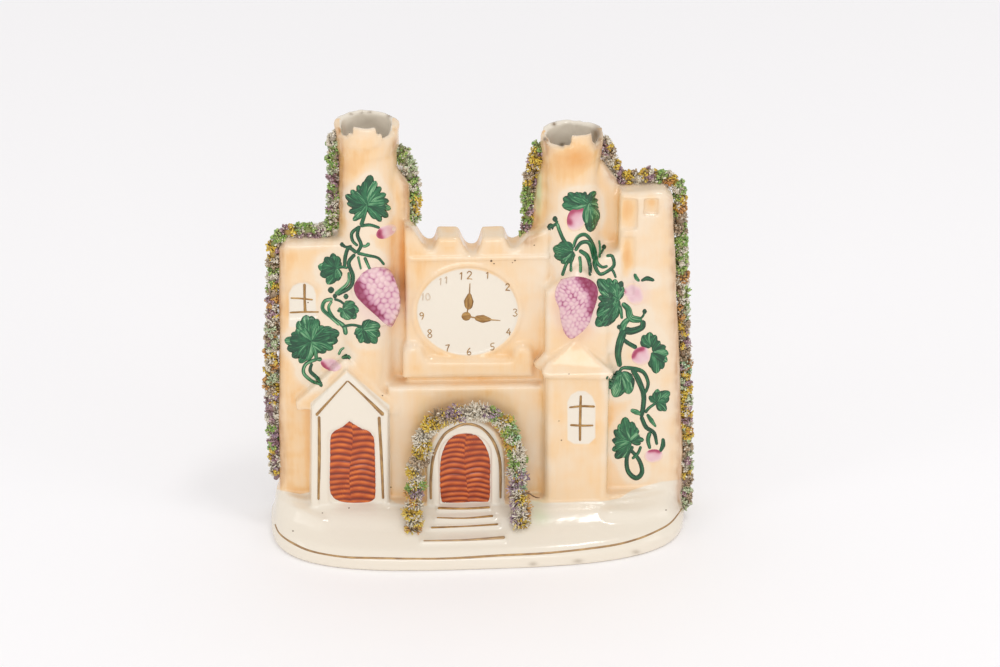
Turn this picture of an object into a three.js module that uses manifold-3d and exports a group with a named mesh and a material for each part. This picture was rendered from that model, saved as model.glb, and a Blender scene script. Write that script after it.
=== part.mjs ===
// Flatback castle figure: one hollow piece of glazed earthenware, pressed in a two-part mould.
// Millimetres, +Z up, front towards -Y, origin at the middle of the base on the surface it stands on.
import * as THREE from 'three';
import { mergeVertices } from 'three/addons/utils/BufferGeometryUtils.js';
import Module from 'manifold-3d';

const wasm = await Module();
wasm.setup();

// Driving dimensions
const WALL = 4.5;
const FLOOR = 5;
const BACK = 15;
const SEAM = 4.5;
const FOOT = 8;
const BASE = { power: 3.1, sides: 44, cavitySides: 24 };
const WING = { front: -8, leftTop: 155.5, rightFront: -12, rightTop: 178 };
const WALLS = { clockFront: -9, lowerFront: -14, lowerTop: 80.5 };
const LEFT_TOWER = {
  x: -48.8, radius: 13.3, crown: 14.5, lean: -3.2, swell: 2.4,
  collar: 198, floor: 208, rim: 210.5, merlon: 214,
};
const RIGHT_TOWER = {
  x: 43.4, radius: 13.2, crown: 14.3, lean: 1.4, swell: 0.6,
  collar: 192.5, floor: 200.8, rim: 202.5, merlon: 207.8,
};
const TOWER_Y = 1.5;
const BORE = 10.4;
const MOUTH = 11.4;
const CLOCK = { x: -4.7, z: 118.2, radius: 23.3, sunk: 0.9, lip: 2.2 };
const PORCH = { front: -18.5, foot: 14, roofFront: -14.5, doorDepth: 1.4, panelDepth: 0.7 };
const ARCH = { x: -6.6, front: -21.5, surround: 4.6 };
const ARCH_DOOR = { half: 12.3, foot: 20.2, top: 59.5, depth: 2 };
const BAY = { left: 31, right: 60.5, middle: 45.6, upperFront: -16, lowerFront: -21, cornice: -22.5 };
const STEPS = [
  { z: 20.2, front: -24.2, left: -20.4, right: 5.2 },
  { z: 17.6, front: -28.8, left: -21.6, right: 6.6 },
  { z: 15.0, front: -32.8, left: -24.0, right: 8.8 },
  { z: 12.6, front: -40.0, left: -28.8, right: 11.4 },
];
const GLAZE = { color: 0xf0cfa4, roughness: 0.22, metalness: 0 };

// Turns a closed three.js geometry into a solid
function solid(geometry) {
  geometry.deleteAttribute('normal');
  geometry.deleteAttribute('uv');
  const merged = mergeVertices(geometry, 1e-4);
  const vertProperties = new Float32Array(merged.attributes.position.array);
  const triVerts = new Uint32Array(merged.index.array);
  return new wasm.Manifold(new wasm.Mesh({ numProp: 3, vertProperties, triVerts }));
}

function joined(solids) {
  return solids.reduce((whole, next) => whole.add(next));
}

// An outline in the front view, [x, z] points, as a shape
function outline(points) {
  return new THREE.Shape(points.map(([x, z]) => new THREE.Vector2(x, z)));
}

// A front-view shape carried from yFront to yBack, its edges rounded by bevel
function slab(shape, yFront, yBack, bevel = 0, curveSegments = 6) {
  const geometry = new THREE.ExtrudeGeometry(shape, {
    depth: yBack - yFront - 2 * bevel,
    bevelEnabled: bevel > 0,
    bevelThickness: bevel,
    bevelSize: bevel,
    bevelOffset: -bevel,
    bevelSegments: 2,
    curveSegments,
  });
  geometry.rotateX(Math.PI / 2);
  geometry.translate(0, yBack - bevel, 0);
  return solid(geometry);
}

// A cylinder reshaped row by row: each row is a superellipse at its own height, with a front and a back depth
function loft(rows, sides) {
  const geometry = new THREE.CylinderGeometry(1, 1, 1, sides, rows.length - 1);
  const position = geometry.attributes.position;
  for (let i = 0; i < position.count; i += 1) {
    const row = rows[Math.round((position.getY(i) + 0.5) * (rows.length - 1))];
    const across = position.getX(i);
    const along = -position.getZ(i);
    const stretch = 2 / (row.power ?? 2);
    const x = row.x + row.half * Math.sign(across) * Math.abs(across) ** stretch;
    const depth = along < 0 ? row.front : row.back;
    const y = row.y + depth * Math.sign(along) * Math.abs(along) ** stretch;
    position.setXYZ(i, x, y, row.z);
  }
  return solid(geometry);
}

// A fixed scatter between 0 and 1, so that the shreds come out the same each time
function scatter(seed) {
  const value = Math.sin(seed * 12.9898 + 4.1) * 43758.5453;
  return value - Math.floor(value);
}

// The oval base, its foot band upright and its top swelling up to the walls' feet
function base() {
  const rows = [
    [0, 98.2, 46.2, 19.2],
    [1, 99, 47, 20],
    [6, 99, 47, 20],
    [7.5, 98.2, 45.6, 19.6],
    [9.5, 97.6, 43, 19.2],
    [11.5, 97.2, 38.5, 19],
    [14, 96.8, 33, 18.6],
    [17, 96.2, 28, 18],
    [19, 95, 23.5, 17.2],
    [20, 93, 20, 16],
  ].map(([z, half, front, back]) => ({ x: 0, y: 0, z, half, front, back, power: BASE.power }));
  return loft(rows, BASE.sides);
}

function steps() {
  return joined(STEPS.map(({ z, front, left, right }, i) => {
    const shape = outline([[left, FOOT - i], [left, z], [right, z], [right, FOOT - i]]);
    return slab(shape, front, 0, 0.7);
  }));
}

// The rear half of the mould: both wings, the shoulders beside the towers and the wall between, flat behind
function rearSlab() {
  const shape = outline([
    [-94.8, FOOT], [-93.3, 60], [-89.6, 149], [-86.5, 154], [-60, 154], [-48, 160], [-41, 187],
    [-35.5, 187.5], [-30.4, 181], [-29.6, 140], [27, 138], [32, 150], [45, 186], [57.5, 188.5],
    [63.8, 181], [65, 176], [86, 176.5], [88.6, 173], [98.2, 24], [98.2, FOOT],
  ]);
  return slab(shape, -4, BACK, 3.5);
}

function leftWing() {
  const top = WING.leftTop;
  const shape = outline([
    [-94.8, FOOT], [-93.3, 60], [-89.8, top - 4], [-86.6, top], [-55, top], [-55, FOOT],
  ]);
  const window = archShape(-79.6, 7, 116.5, 135);
  return slab(shape, WING.front, SEAM, 2.4).subtract(slab(window, WING.front - 2, WING.front + 0.6));
}

// The taller right wing, with a loophole, a square window and a sunk strip beside the tower
function rightWing() {
  const shape = outline([
    [56, FOOT], [56, 96], [64.5, 122], [64.5, WING.rightTop], [85, WING.rightTop],
    [88.8, WING.rightTop - 3.5], [92.4, 120], [97.2, 44], [98.4, FOOT],
  ]);
  const loophole = outline([[65.6, 160], [65.6, 175], [72.4, 175], [72.4, 160]]);
  const window = outline([[75.2, 167], [75.2, 175.4], [81.8, 175.4], [81.8, 167]]);
  const strip = outline([[65.6, 126], [65.6, 156], [71.6, 156], [71.6, 126]]);
  const cut = (form, depth) => slab(form, WING.rightFront - 2, WING.rightFront + depth);
  return slab(shape, WING.rightFront, SEAM, 2.4)
    .subtract(cut(loophole, 1.4))
    .subtract(cut(window, 1.8))
    .subtract(cut(strip, 0.8));
}

// An opening with a round head: half-width, sill and crown height about a middle line
function archShape(x, half, sill, crown) {
  const shape = new THREE.Shape();
  shape.moveTo(x - half, sill);
  shape.lineTo(x - half, crown - half);
  shape.absarc(x, crown - half, half, Math.PI, 0, true);
  shape.lineTo(x + half, sill);
  shape.closePath();
  return shape;
}

// The clock wall, its top scooped between two merlons and swept up to the towers
function clockWall() {
  const shape = new THREE.Shape();
  shape.moveTo(-33, FOOT);
  shape.lineTo(-33, 164);
  shape.lineTo(-29.9, 162.4);
  shape.bezierCurveTo(-26, 157, -25, 150.2, -20.9, 150.2);
  shape.bezierCurveTo(-18.2, 150.2, -18.4, 156.3, -16.9, 156.3);
  shape.lineTo(-8.6, 156.1);
  shape.bezierCurveTo(-6.2, 155, -6.4, 147, -1.7, 147);
  shape.bezierCurveTo(2.0, 147, 1.6, 155.8, 3.2, 155.8);
  shape.lineTo(12.2, 155.6);
  shape.bezierCurveTo(14, 154.5, 13.6, 149.6, 16.7, 149.6);
  shape.bezierCurveTo(20.5, 149.6, 21, 154.6, 24, 156);
  shape.lineTo(33, 160);
  shape.lineTo(33, FOOT);
  shape.closePath();
  const string = outline([[-31, 145.2], [-31, 147.4], [33, 146.6], [33, 144.4]]);
  const wall = slab(shape, WALLS.clockFront, SEAM, 1.1, 3).add(slab(string, WALLS.clockFront - 0.8, 0, 0.5));
  return wall.add(clockLip()).subtract(clockDial());
}

function clockDisc(radius, yFront, yBack) {
  const geometry = new THREE.CylinderGeometry(radius, radius, yBack - yFront, 32);
  geometry.translate(CLOCK.x, (yFront + yBack) / 2, CLOCK.z);
  return solid(geometry);
}

function clockLip() {
  return clockDisc(CLOCK.radius + CLOCK.lip, WALLS.clockFront - 0.7, 0);
}

function clockDial() {
  return clockDisc(CLOCK.radius, WALLS.clockFront - 3, WALLS.clockFront + CLOCK.sunk - 0.7);
}

// The scrolled console that carries the clock
function clockConsole() {
  const shape = new THREE.Shape();
  shape.moveTo(-35, 84.6);
  shape.lineTo(-34.6, 97.5);
  shape.bezierCurveTo(-34, 103.5, -26.5, 103.5, -25.2, 98.5);
  shape.bezierCurveTo(-24.4, 95.5, -23.6, 94.2, -21, 94.2);
  shape.lineTo(14.4, 93);
  shape.bezierCurveTo(16, 93, 16, 96, 17, 98);
  shape.bezierCurveTo(18.6, 101.6, 24.6, 101, 25.4, 96);
  shape.lineTo(25.8, 83.4);
  shape.closePath();
  return slab(shape, -12.5, 0, 1.8, 4);
}

// The lower wall stands a little forward of the clock wall and ends in a ledge
function lowerWall() {
  const shape = outline([[-42, FOOT], [-42, WALLS.lowerTop + 0.8], [33, WALLS.lowerTop - 0.6], [33, FOOT]]);
  return slab(shape, WALLS.lowerFront, 0, 1.6);
}

// A round tower from the base to its rim, fuller in front as it goes down, with a collar below the crown
function tower({ x, radius, crown, lean, swell, collar, rim }) {
  const row = (z, half, shift, front) => ({ x: x + shift, y: TOWER_Y, z, half, front, back: BACK - TOWER_Y });
  return loft([
    row(FOOT, radius + 0.9, lean, radius + swell),
    row(85, radius + 0.5, lean, radius + swell),
    row(128, radius + 0.3, lean * 0.7, radius + swell * 0.85),
    row(158, radius, lean * 0.3, radius + swell * 0.3),
    row(collar - 1, radius, 0, radius),
    row(collar + 1.5, crown - 0.5, 0, crown - 0.5),
    row(rim, crown, 0, crown),
  ], 28);
}

// The tall front merlon, cut from a ring so that it follows the tower's curve
function frontMerlon({ x, crown, rim, merlon }, left, right) {
  const ring = (half, z, top) => loft([
    { x, y: TOWER_Y, z, half, front: half, back: half },
    { x, y: TOWER_Y, z: top, half, front: half, back: half },
  ], 28);
  const shell = ring(crown, rim - 4, merlon + 4).subtract(ring(MOUTH, rim - 6, merlon + 6));
  const face = outline([[left - 1.8, rim - 4], [left, merlon], [right, merlon], [right + 1.4, rim - 4]]);
  return slab(face, -16, -4).intersect(shell);
}

// The two notches beside the front merlon
function crenels({ x, floor, rim, crown }, leftEnd, rightStart) {
  const top = rim + 1;
  const far = x + crown * 0.86;
  const near = x - crown * 0.86;
  const left = outline([[near, floor], [near - 0.8, top], [leftEnd, top], [leftEnd - 0.8, floor]]);
  const right = outline([[rightStart + 0.8, floor], [rightStart, top], [far + 0.8, top], [far, floor]]);
  return slab(left, -16, -3).add(slab(right, -16, -3));
}

// The bays under the right tower: the upper one gabled, the lower one with a hipped roof over a cornice
function bays() {
  const { left, right, middle } = BAY;
  const upper = outline([[left, FOOT], [left, 130], [middle, 143.4], [right - 0.6, 129.6], [right, FOOT]]);
  const lower = outline([[left, FOOT], [left, 91.5], [right, 89.5], [right, FOOT]]);
  const cornice = outline([[left - 1, 88.4], [left - 1, 91.6], [right + 1, 89.4], [right + 1, 86.6]]);
  const gable = outline([
    [left - 1, 91], [left + 0.5, 95.2], [middle, 104.5], [right, 91.5], [right + 1, 89],
  ]);
  const pitch = outline([[BAY.cornice, 89], [BAY.upperFront, 105], [0, 105], [0, 89]]);
  const roof = new THREE.ExtrudeGeometry(pitch, { depth: 40, bevelEnabled: false });
  roof.applyMatrix4(new THREE.Matrix4().makeBasis(
    new THREE.Vector3(0, 1, 0), new THREE.Vector3(0, 0, 1), new THREE.Vector3(1, 0, 0),
  ));
  roof.translate(left - 5, 0, 0);
  const window = archShape(47.7, 6.9, 50.5, 79.5);
  const knob = new THREE.SphereGeometry(3.6, 10, 8);
  knob.translate(left - 0.8, -13.4, 92.4);
  return joined([
    slab(upper, BAY.upperFront, 0, 2),
    slab(lower, BAY.lowerFront, 0, 2).subtract(slab(window, BAY.lowerFront - 2, BAY.lowerFront + 0.6)),
    slab(cornice, BAY.cornice, 0, 0.9),
    slab(gable, BAY.cornice - 1, 0).intersect(solid(roof)),
    solid(knob),
  ]);
}

// The gabled porch with its sunk panel, its door and the roof moulding behind the gable
function porch() {
  const { front, foot, roofFront, panelDepth, doorDepth } = PORCH;
  const gable = outline([[-80.1, foot], [-77.6, 74.8], [-61.1, 93.8], [-41.9, 70.4], [-42.7, foot]]);
  const roof = outline([
    [-84.4, 70.5], [-84.6, 74.4], [-61.1, 98], [-37.2, 70.6], [-37, 66.6], [-44, 66.6], [-61.1, 87],
    [-77, 70.5],
  ]);
  const panel = outline([[-75.6, foot], [-75.2, 70.2], [-60.5, 88.4], [-45, 69.6], [-45.7, foot]]);
  const door = new THREE.Shape();
  door.moveTo(-68.4, 20.4);
  door.quadraticCurveTo(-71, 20.4, -71, 24);
  door.lineTo(-70.4, 56);
  door.quadraticCurveTo(-70.2, 60.5, -66.5, 61.8);
  door.quadraticCurveTo(-62.5, 63.2, -60.1, 66.6);
  door.quadraticCurveTo(-57, 63.2, -52.5, 61);
  door.quadraticCurveTo(-48.6, 59.5, -48.4, 55);
  door.lineTo(-48.3, 24);
  door.quadraticCurveTo(-48.4, 20.4, -51, 20.4);
  door.closePath();
  return slab(roof, roofFront, 0, 1)
    .add(slab(gable, front, 0, 1.1))
    .subtract(slab(panel, front - 2, front + panelDepth))
    .subtract(slab(door, front - 2, front + doorDepth, 0, 3));
}

// The round-headed doorway above the steps
function doorway() {
  const { x, front, surround } = ARCH;
  const { half, foot, top, depth } = ARCH_DOOR;
  const block = archShape(x + 0.2, half + surround + 1.5, FOOT, top + surround + 2.5);
  const moulding = archShape(x + 0.2, half + surround - 1, FOOT, top + surround - 0.4);
  const door = archShape(x, half, foot, top);
  return slab(block, front + 0.8, 0, 0.8, 7)
    .add(slab(moulding, front, 0, 0, 7))
    .subtract(slab(door, front - 2, front + depth, 0, 7));
}

// A bunch of grapes: a tapering swell with rows of berries set over its front
function bunch(x, y, z, half, height, lean) {
  const swell = new THREE.SphereGeometry(1, 12, 7);
  swell.rotateX(Math.PI / 2);
  const shape = (u, w) => [x + half * (0.86 + 0.2 * w) * u + lean * w, z + height * w];
  const position = swell.attributes.position;
  for (let i = 0; i < position.count; i += 1) {
    const [px, pz] = shape(position.getX(i), position.getZ(i));
    position.setXYZ(i, px, y + 3.4 * position.getY(i), pz);
  }
  const berries = [];
  const rows = 4;
  for (let row = 0; row < rows; row += 1) {
    const w = -0.72 + (1.36 * row) / (rows - 1);
    const reach = Math.sqrt(1 - w * w);
    const count = Math.max(2, Math.round(4 * reach * (0.86 + 0.2 * w)));
    for (let k = 0; k < count; k += 1) {
      const u = reach * 0.84 * ((2 * k) / (count - 1) - 1);
      const [px, pz] = shape(u, w);
      const berry = new THREE.IcosahedronGeometry(3.3, 0);
      berry.rotateX(scatter(row * 7 + k) * 3);
      berry.translate(px, y - 2.2 * Math.sqrt(Math.max(0.05, 1 - u * u - w * w)), pz);
      berries.push(solid(berry));
    }
  }
  return joined([solid(swell), ...berries]);
}

// Shredded clay laid along a path of [x, y, z] points: a rope whose rings swell and shrink in ragged lumps
function shreds(points, lumps, size, seed) {
  const path = new THREE.CatmullRomCurve3(points.map((p) => new THREE.Vector3(...p)), false, 'centripetal');
  const sides = 6;
  const rings = lumps * 2;
  const section = new THREE.Shape(Array.from({ length: sides }, (_, k) => (
    new THREE.Vector2(Math.cos((2 * Math.PI * k) / sides), Math.sin((2 * Math.PI * k) / sides))
  )));
  const rope = new THREE.ExtrudeGeometry(section, { steps: rings, extrudePath: path, bevelEnabled: false });
  rope.deleteAttribute('normal');
  rope.deleteAttribute('uv');
  const merged = mergeVertices(rope, 1e-4);
  const centres = path.getSpacedPoints(rings);
  const position = merged.attributes.position;
  const corner = new THREE.Vector3();
  for (let i = 0; i < position.count; i += 1) {
    corner.fromBufferAttribute(position, i);
    const gaps = centres.map((c) => c.distanceTo(corner));
    const ring = gaps.indexOf(Math.min(...gaps));
    const end = ring === 0 || ring === rings ? 0.55 : 1;
    const lump = (0.78 + 0.3 * scatter(seed + ring * 2.7)) * (0.8 + 0.48 * scatter(seed + i * 1.9));
    corner.sub(centres[ring]).multiplyScalar(size * end * lump).add(centres[ring]);
    position.setXYZ(i, corner.x, corner.y, corner.z);
  }
  return solid(merged);
}

// The strips along the seam and the wreath round the doorway
function encrustation() {
  return joined([
    shreds([
      [-95.6, -2, 28], [-95.2, -1, 59], [-94.6, -1, 92], [-93, -1, 124], [-91.4, -1, 150], [-86.6, 0, 156],
      [-76, 0, 156], [-67, 0, 156.6], [-63.4, 0, 163], [-63.2, 0, 180], [-62.8, 0, 205],
    ], 23, 4.5, 1),
    shreds([[-34, 2, 196.5], [-30.6, 2, 188], [-29.6, 2, 176], [-29.4, 2, 160]], 5, 4.8, 40),
    shreds([[30.6, 1, 198], [28.4, 1, 185], [27.8, 1, 168], [27.6, 1, 151]], 6, 4.8, 50),
    shreds([
      [57, 3, 197], [60, 2, 189], [64, 1, 180.6], [70, 0, 178.6], [79, 0, 179.4], [87, -1, 177.4],
      [90.6, -3, 169], [93, -4, 140], [95.4, -5, 100], [97.2, -6, 60], [98.6, -8, 30], [99.2, -9, 8],
    ], 24, 4.7, 80),
    shreds([
      [-30.8, -32, 16.5], [-29.4, -27, 26], [-28.2, -21, 38], [-26, -19, 52], [-21.5, -19, 64.6],
      [-13.5, -19, 71.4], [-4, -19, 72.6], [6, -19, 71], [13.8, -19, 64], [17.6, -19, 50], [18.4, -21, 36],
      [19, -27, 24], [19.6, -32, 15.5],
    ], 22, 5.2, 110),
  ]);
}

// The hollow that the mould leaves: walls of even thickness, open only at the two tower mouths
function hollow() {
  const foot = [
    [FLOOR, 92, 40, 14.5],
    [8, 92, 38, 14.5],
    [13, 91, 24, 14],
    [20, 88, 12, BACK - WALL],
  ].map(([z, half, front, back]) => ({ x: 0, y: 0, z, half, front, back, power: BASE.power }));
  const lower = outline([[-90, 12], [-88.6, 76], [93, 76], [93.4, 12]]);
  const upper = outline([
    [-88.6, 70], [-85, 150], [-56, 150], [-36, 178], [-34.4, 178], [-34.2, 141.5], [28, 141], [50, 178],
    [59, 178], [60, 170], [84, 172], [90, 70],
  ]);
  const porchRoom = outline([[-75, 12], [-73, 72], [-61.1, 86], [-46.8, 70], [-47.4, 12]]);
  const bayRoom = outline([[35.6, 12], [35.6, 84], [56, 84], [56, 12]]);
  const shaft = ({ x, collar, rim, merlon }) => loft([
    [FLOOR, BORE], [collar, BORE], [rim - 1.2, MOUTH - 0.5], [rim, MOUTH], [merlon + 3, MOUTH],
  ].map(([z, r]) => ({ x, y: TOWER_Y, z, half: r, front: r, back: r })), 22);
  return joined([
    loft(foot, BASE.cavitySides),
    slab(lower, WING.front + WALL + 0.5, BACK - WALL),
    slab(upper, WING.front + WALL + 0.5, SEAM + 3),
    slab(porchRoom, PORCH.front + PORCH.doorDepth + WALL, 0),
    slab(bayRoom, BAY.lowerFront + WALL, 0),
    shaft(LEFT_TOWER),
    shaft(RIGHT_TOWER),
  ]);
}

function castleGeometry() {
  const body = joined([
    base(),
    steps(),
    rearSlab(),
    leftWing(),
    rightWing(),
    clockWall(),
    clockConsole(),
    lowerWall(),
    tower(LEFT_TOWER),
    tower(RIGHT_TOWER),
    frontMerlon(LEFT_TOWER, -54.8, -44.6),
    frontMerlon(RIGHT_TOWER, 42.2, 51.3),
    bays(),
    porch(),
    doorway(),
    bunch(-46.2, -12.2, 129.4, 11, 15.8, -3),
    bunch(45.2, -15.4, 122.6, 9.8, 16.4, 0.4),
    encrustation(),
  ]);
  const open = body
    .subtract(crenels(LEFT_TOWER, -56.4, -42.4))
    .subtract(crenels(RIGHT_TOWER, 39.6, 52.4))
    .subtract(hollow());
  const mesh = open.getMesh();
  const geometry = new THREE.BufferGeometry();
  geometry.setAttribute('position', new THREE.BufferAttribute(new Float32Array(mesh.vertProperties), 3));
  geometry.setIndex(new THREE.BufferAttribute(new Uint32Array(mesh.triVerts), 1));
  geometry.computeVertexNormals();
  return geometry;
}

const castle = new THREE.Mesh(castleGeometry(), new THREE.MeshStandardMaterial(GLAZE));
castle.name = 'castle';

const figure = new THREE.Group();
figure.add(castle);

export default figure;
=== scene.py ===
from math import cos, pi, radians, sin

import bpy
import numpy as np
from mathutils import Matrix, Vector


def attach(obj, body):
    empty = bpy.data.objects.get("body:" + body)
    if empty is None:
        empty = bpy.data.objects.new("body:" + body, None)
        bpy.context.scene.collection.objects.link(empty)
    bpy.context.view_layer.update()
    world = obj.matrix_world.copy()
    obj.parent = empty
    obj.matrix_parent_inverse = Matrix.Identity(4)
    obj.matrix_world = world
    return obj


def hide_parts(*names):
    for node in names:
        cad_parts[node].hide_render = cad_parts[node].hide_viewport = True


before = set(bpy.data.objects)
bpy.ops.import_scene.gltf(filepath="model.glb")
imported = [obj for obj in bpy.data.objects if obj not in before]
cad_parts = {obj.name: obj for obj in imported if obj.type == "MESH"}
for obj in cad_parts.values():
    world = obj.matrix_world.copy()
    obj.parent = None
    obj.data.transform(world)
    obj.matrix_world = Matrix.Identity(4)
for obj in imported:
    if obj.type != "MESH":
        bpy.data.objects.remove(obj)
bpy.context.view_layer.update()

scene = bpy.context.scene

# The camera stands a little to the left of the figure's middle and looks down on it at thirty degrees,
# through a long lens. Millimetres for the figure, metres for Blender.
MM = 0.001
AIM = np.array([11.0, 1.2, 100.0])
DISTANCE, AZIMUTH, ELEVATION = 1360.0, radians(-3.3), radians(30)
LENS, SENSOR = 105.0, 36.0
backward = np.array([sin(AZIMUTH) * cos(ELEVATION), -cos(AZIMUTH) * cos(ELEVATION), sin(ELEVATION)])
EYE = AIM + backward * DISTANCE

FRAME = (1000, 667)
FOCUS = LENS / SENSOR * FRAME[0]
sideways = np.array([cos(AZIMUTH), sin(AZIMUTH), 0.0])
upward = np.cross(backward, sideways)


def in_frame(points):
    """Where points in millimetres show in the frame, in its pixels: how far they lie across and up from
    the eye, over how far they lie ahead of it."""
    away = points - EYE
    ahead = away @ -backward
    return np.stack([FRAME[0] / 2 + FOCUS * (away @ sideways) / ahead,
                     FRAME[1] / 2 - FOCUS * (away @ upward) / ahead], axis=1)


def sight(pixels):
    """The way from the eye through each place of the frame."""
    across, down = ((pixels - np.array(FRAME) / 2) / FOCUS).T
    return across[:, None] * sideways - down[:, None] * upward - backward


camera = bpy.data.objects.new("camera", bpy.data.cameras.new("camera"))
camera.data.lens, camera.data.sensor_width = LENS, SENSOR
camera.location = Vector(EYE * MM)
camera.rotation_euler = Vector(backward).to_track_quat("Z", "Y").to_euler()
scene.collection.objects.link(camera)
scene.camera = camera


# The table is a sheet of pale matt paper that runs far behind the figure. Four large soft lights, one
# high in front, one low in front and one on each side, and a white room give small soft highlights and a
# pale shadow.
def linear(colour):
    """An sRGB hex colour as linear red, green, blue and alpha."""
    channels = np.array([int(colour[i:i + 2], 16) for i in (1, 3, 5)]) / 255
    bright = ((channels + 0.055) / 1.055) ** 2.4
    return (*np.where(channels <= 0.04045, channels / 12.92, bright), 1.0)


def feed(made, **inputs):
    """Sets inputs of a node, by name or by number: a value, a socket to read, or a node whose first
    output is read."""
    for key, value in inputs.items():
        socket = made.inputs[int(key[1:])] if key[1:].isdigit() else made.inputs[key.replace("_", " ")]
        if isinstance(value, bpy.types.Node):
            value = value.outputs[0]
        if isinstance(value, bpy.types.NodeSocket):
            made.id_data.links.new(value, socket)
        else:
            socket.default_value = value


def node(tree, kind, settings=None, **inputs):
    """Adds a node of a kind, with its settings and its inputs."""
    made = tree.nodes.new("ShaderNode" + kind)
    for key, value in (settings or {}).items():
        setattr(made, key, value)
    feed(made, **inputs)
    return made


def new_material(name, **inputs):
    """A node material, its tree and its shader, with the shader's plain inputs set."""
    material = bpy.data.materials.new(name)
    material.use_nodes = True
    shader = material.node_tree.nodes["Principled BSDF"]
    feed(shader, **inputs)
    return material, material.node_tree, shader


def add_object(name, points, faces):
    """A mesh object from points in millimetres and an array of faces that all have the same number of
    corners."""
    faces = np.asarray(faces, np.int32)
    mesh = bpy.data.meshes.new(name)
    mesh.vertices.add(len(points))
    mesh.vertices.foreach_set("co", (np.asarray(points, np.float64) * MM).astype(np.float32).ravel())
    mesh.loops.add(faces.size)
    mesh.loops.foreach_set("vertex_index", faces.ravel())
    mesh.polygons.add(len(faces))
    mesh.polygons.foreach_set("loop_start", np.arange(0, faces.size, faces.shape[1], dtype=np.int32))
    mesh.update(calc_edges=True)
    mesh.polygons.foreach_set("use_smooth", np.ones(len(faces), bool))
    made = bpy.data.objects.new(name, mesh)
    scene.collection.objects.link(made)
    return made


paper = add_object("table", [[-4000, -2500, 0], [4000, -2500, 0], [4000, 6000, 0], [-4000, 6000, 0]],
                   [[0, 1, 2, 3]])
paper.data.materials.append(new_material("matt paper", Base_Color=linear("#fcfafb"), Roughness=0.9)[0])

scene.view_settings.view_transform = "Standard"
scene.world = bpy.data.worlds.new("white room")
scene.world.use_nodes = True
room = scene.world.node_tree.nodes["Background"]
room.inputs["Color"].default_value = (1.0, 1.0, 1.0, 1.0)
room.inputs["Strength"].default_value = 0.845
SOFTBOXES = [
    ("high light", (0.28, -0.25, 1.3), (0.2, 0.14), 1.7),
    ("front light", (-0.15, -1.8, 0.42), (1.1, 0.5), 6.0),
    ("left light", (-1.3, -0.6, 0.7), (0.4, 0.8), 1.3),
    ("right light", (1.3, -0.7, 0.7), (0.4, 0.8), 1.3),
]
for name, place, size, power in SOFTBOXES:
    lamp = bpy.data.lights.new(name, "AREA")
    lamp.shape, lamp.size, lamp.size_y, lamp.energy = "RECTANGLE", *size, power
    light = bpy.data.objects.new(name, lamp)
    light.location = place
    light.rotation_euler = (Vector(place) - Vector((0, 0, 0.09))).to_track_quat("Z", "Y").to_euler()
    scene.collection.objects.link(light)

# The castle is one hollow earthenware piece, pressed in a front and a back mould and glazed all over.
# Each form of the mould is a distance worked out on a fine grid of points; the forms melt into each other
# by a small fillet, as clay and glaze round every corner, and the skin where the distance is nought
# becomes the mesh.
STEP = 0.9
LOW, HIGH = np.array([-101.2, -48.8, -1.6]), np.array([101.2, 21.6, 215.6])
GRID = [np.arange(a, b + STEP / 2, STEP) for a, b in zip(LOW, HIGH)]
body = np.full([len(g) for g in GRID], 60.0, np.float32)


def outline(points, x, z):
    """Distance to a closed outline in the front view, negative inside: the least distance to any edge,
    and a point is inside when a line from it crosses the edges an odd number of times."""
    away = np.full(np.broadcast(x, z).shape, 1e6)
    inside = np.zeros(away.shape, bool)
    for (ax, az), (bx, bz) in zip(points, [*points[1:], points[0]]):
        ex, ez = bx - ax, bz - az
        along = np.clip(((x - ax) * ex + (z - az) * ez) / (ex * ex + ez * ez), 0, 1)
        away = np.minimum(away, np.hypot(x - ax - along * ex, z - az - along * ez))
        if ez:
            inside ^= ((az > z) != (bz > z)) & (x < ax + (z - az) * ex / ez)
    return np.where(inside, -away, away)


def traced(*path):
    """An outline from its corners and curves: a list holds a cubic curve's two handles and its end, and
    is read as eight points."""
    points = []
    t = np.linspace(0, 1, 9)[1:, None]
    for step in path:
        if isinstance(step, list):
            a, b, c, d = (np.array(p, float) for p in (points[-1], *step))
            curve = a * (1 - t) ** 3 + 3 * b * t * (1 - t) ** 2 + 3 * c * t * t * (1 - t) + d * t ** 3
            points += [tuple(p) for p in curve]
        else:
            points.append(step)
    return points


def arched(x, half, sill, crown):
    """The outline of an opening with a round head."""
    turn = np.linspace(pi, 0, 15)
    head = [(x + half * np.cos(a), crown - half + half * np.sin(a)) for a in turn]
    return [(x - half, sill), *head, (x + half, sill)]


def thick(flat, y, front, back, edge):
    """A front-view distance carried from front to back, its edges rounded by edge: the length of what is
    outside."""
    across = flat + edge
    through = np.abs(y - (front + back) / 2) - (back - front) / 2 + edge
    outside = np.hypot(np.maximum(across, 0), np.maximum(through, 0))
    return np.minimum(np.maximum(across, through), 0) + outside - edge


def melted(a, b, soft):
    """The lesser of two distances, with a fillet where they are within soft of each other."""
    share = np.clip(0.5 + 0.5 * (b - a) / soft, 0, 1)
    return b + (a - b) * share - soft * share * (1 - share)


def press(low, high, shape, soft, sunk=False):
    """Adds a shape to the body, or sinks it in, inside one box of the grid and 5 mm round it."""
    cut = tuple(slice(*np.searchsorted(g, (a - 5, b + 5))) for g, a, b in zip(GRID, low, high))
    x, y, z = np.ix_(*(g[c] for g, c in zip(GRID, cut)))
    here = body[cut]
    made = shape(x, y, z)
    body[cut] = -melted(-here, made, soft) if sunk else melted(here, made, soft)


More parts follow.
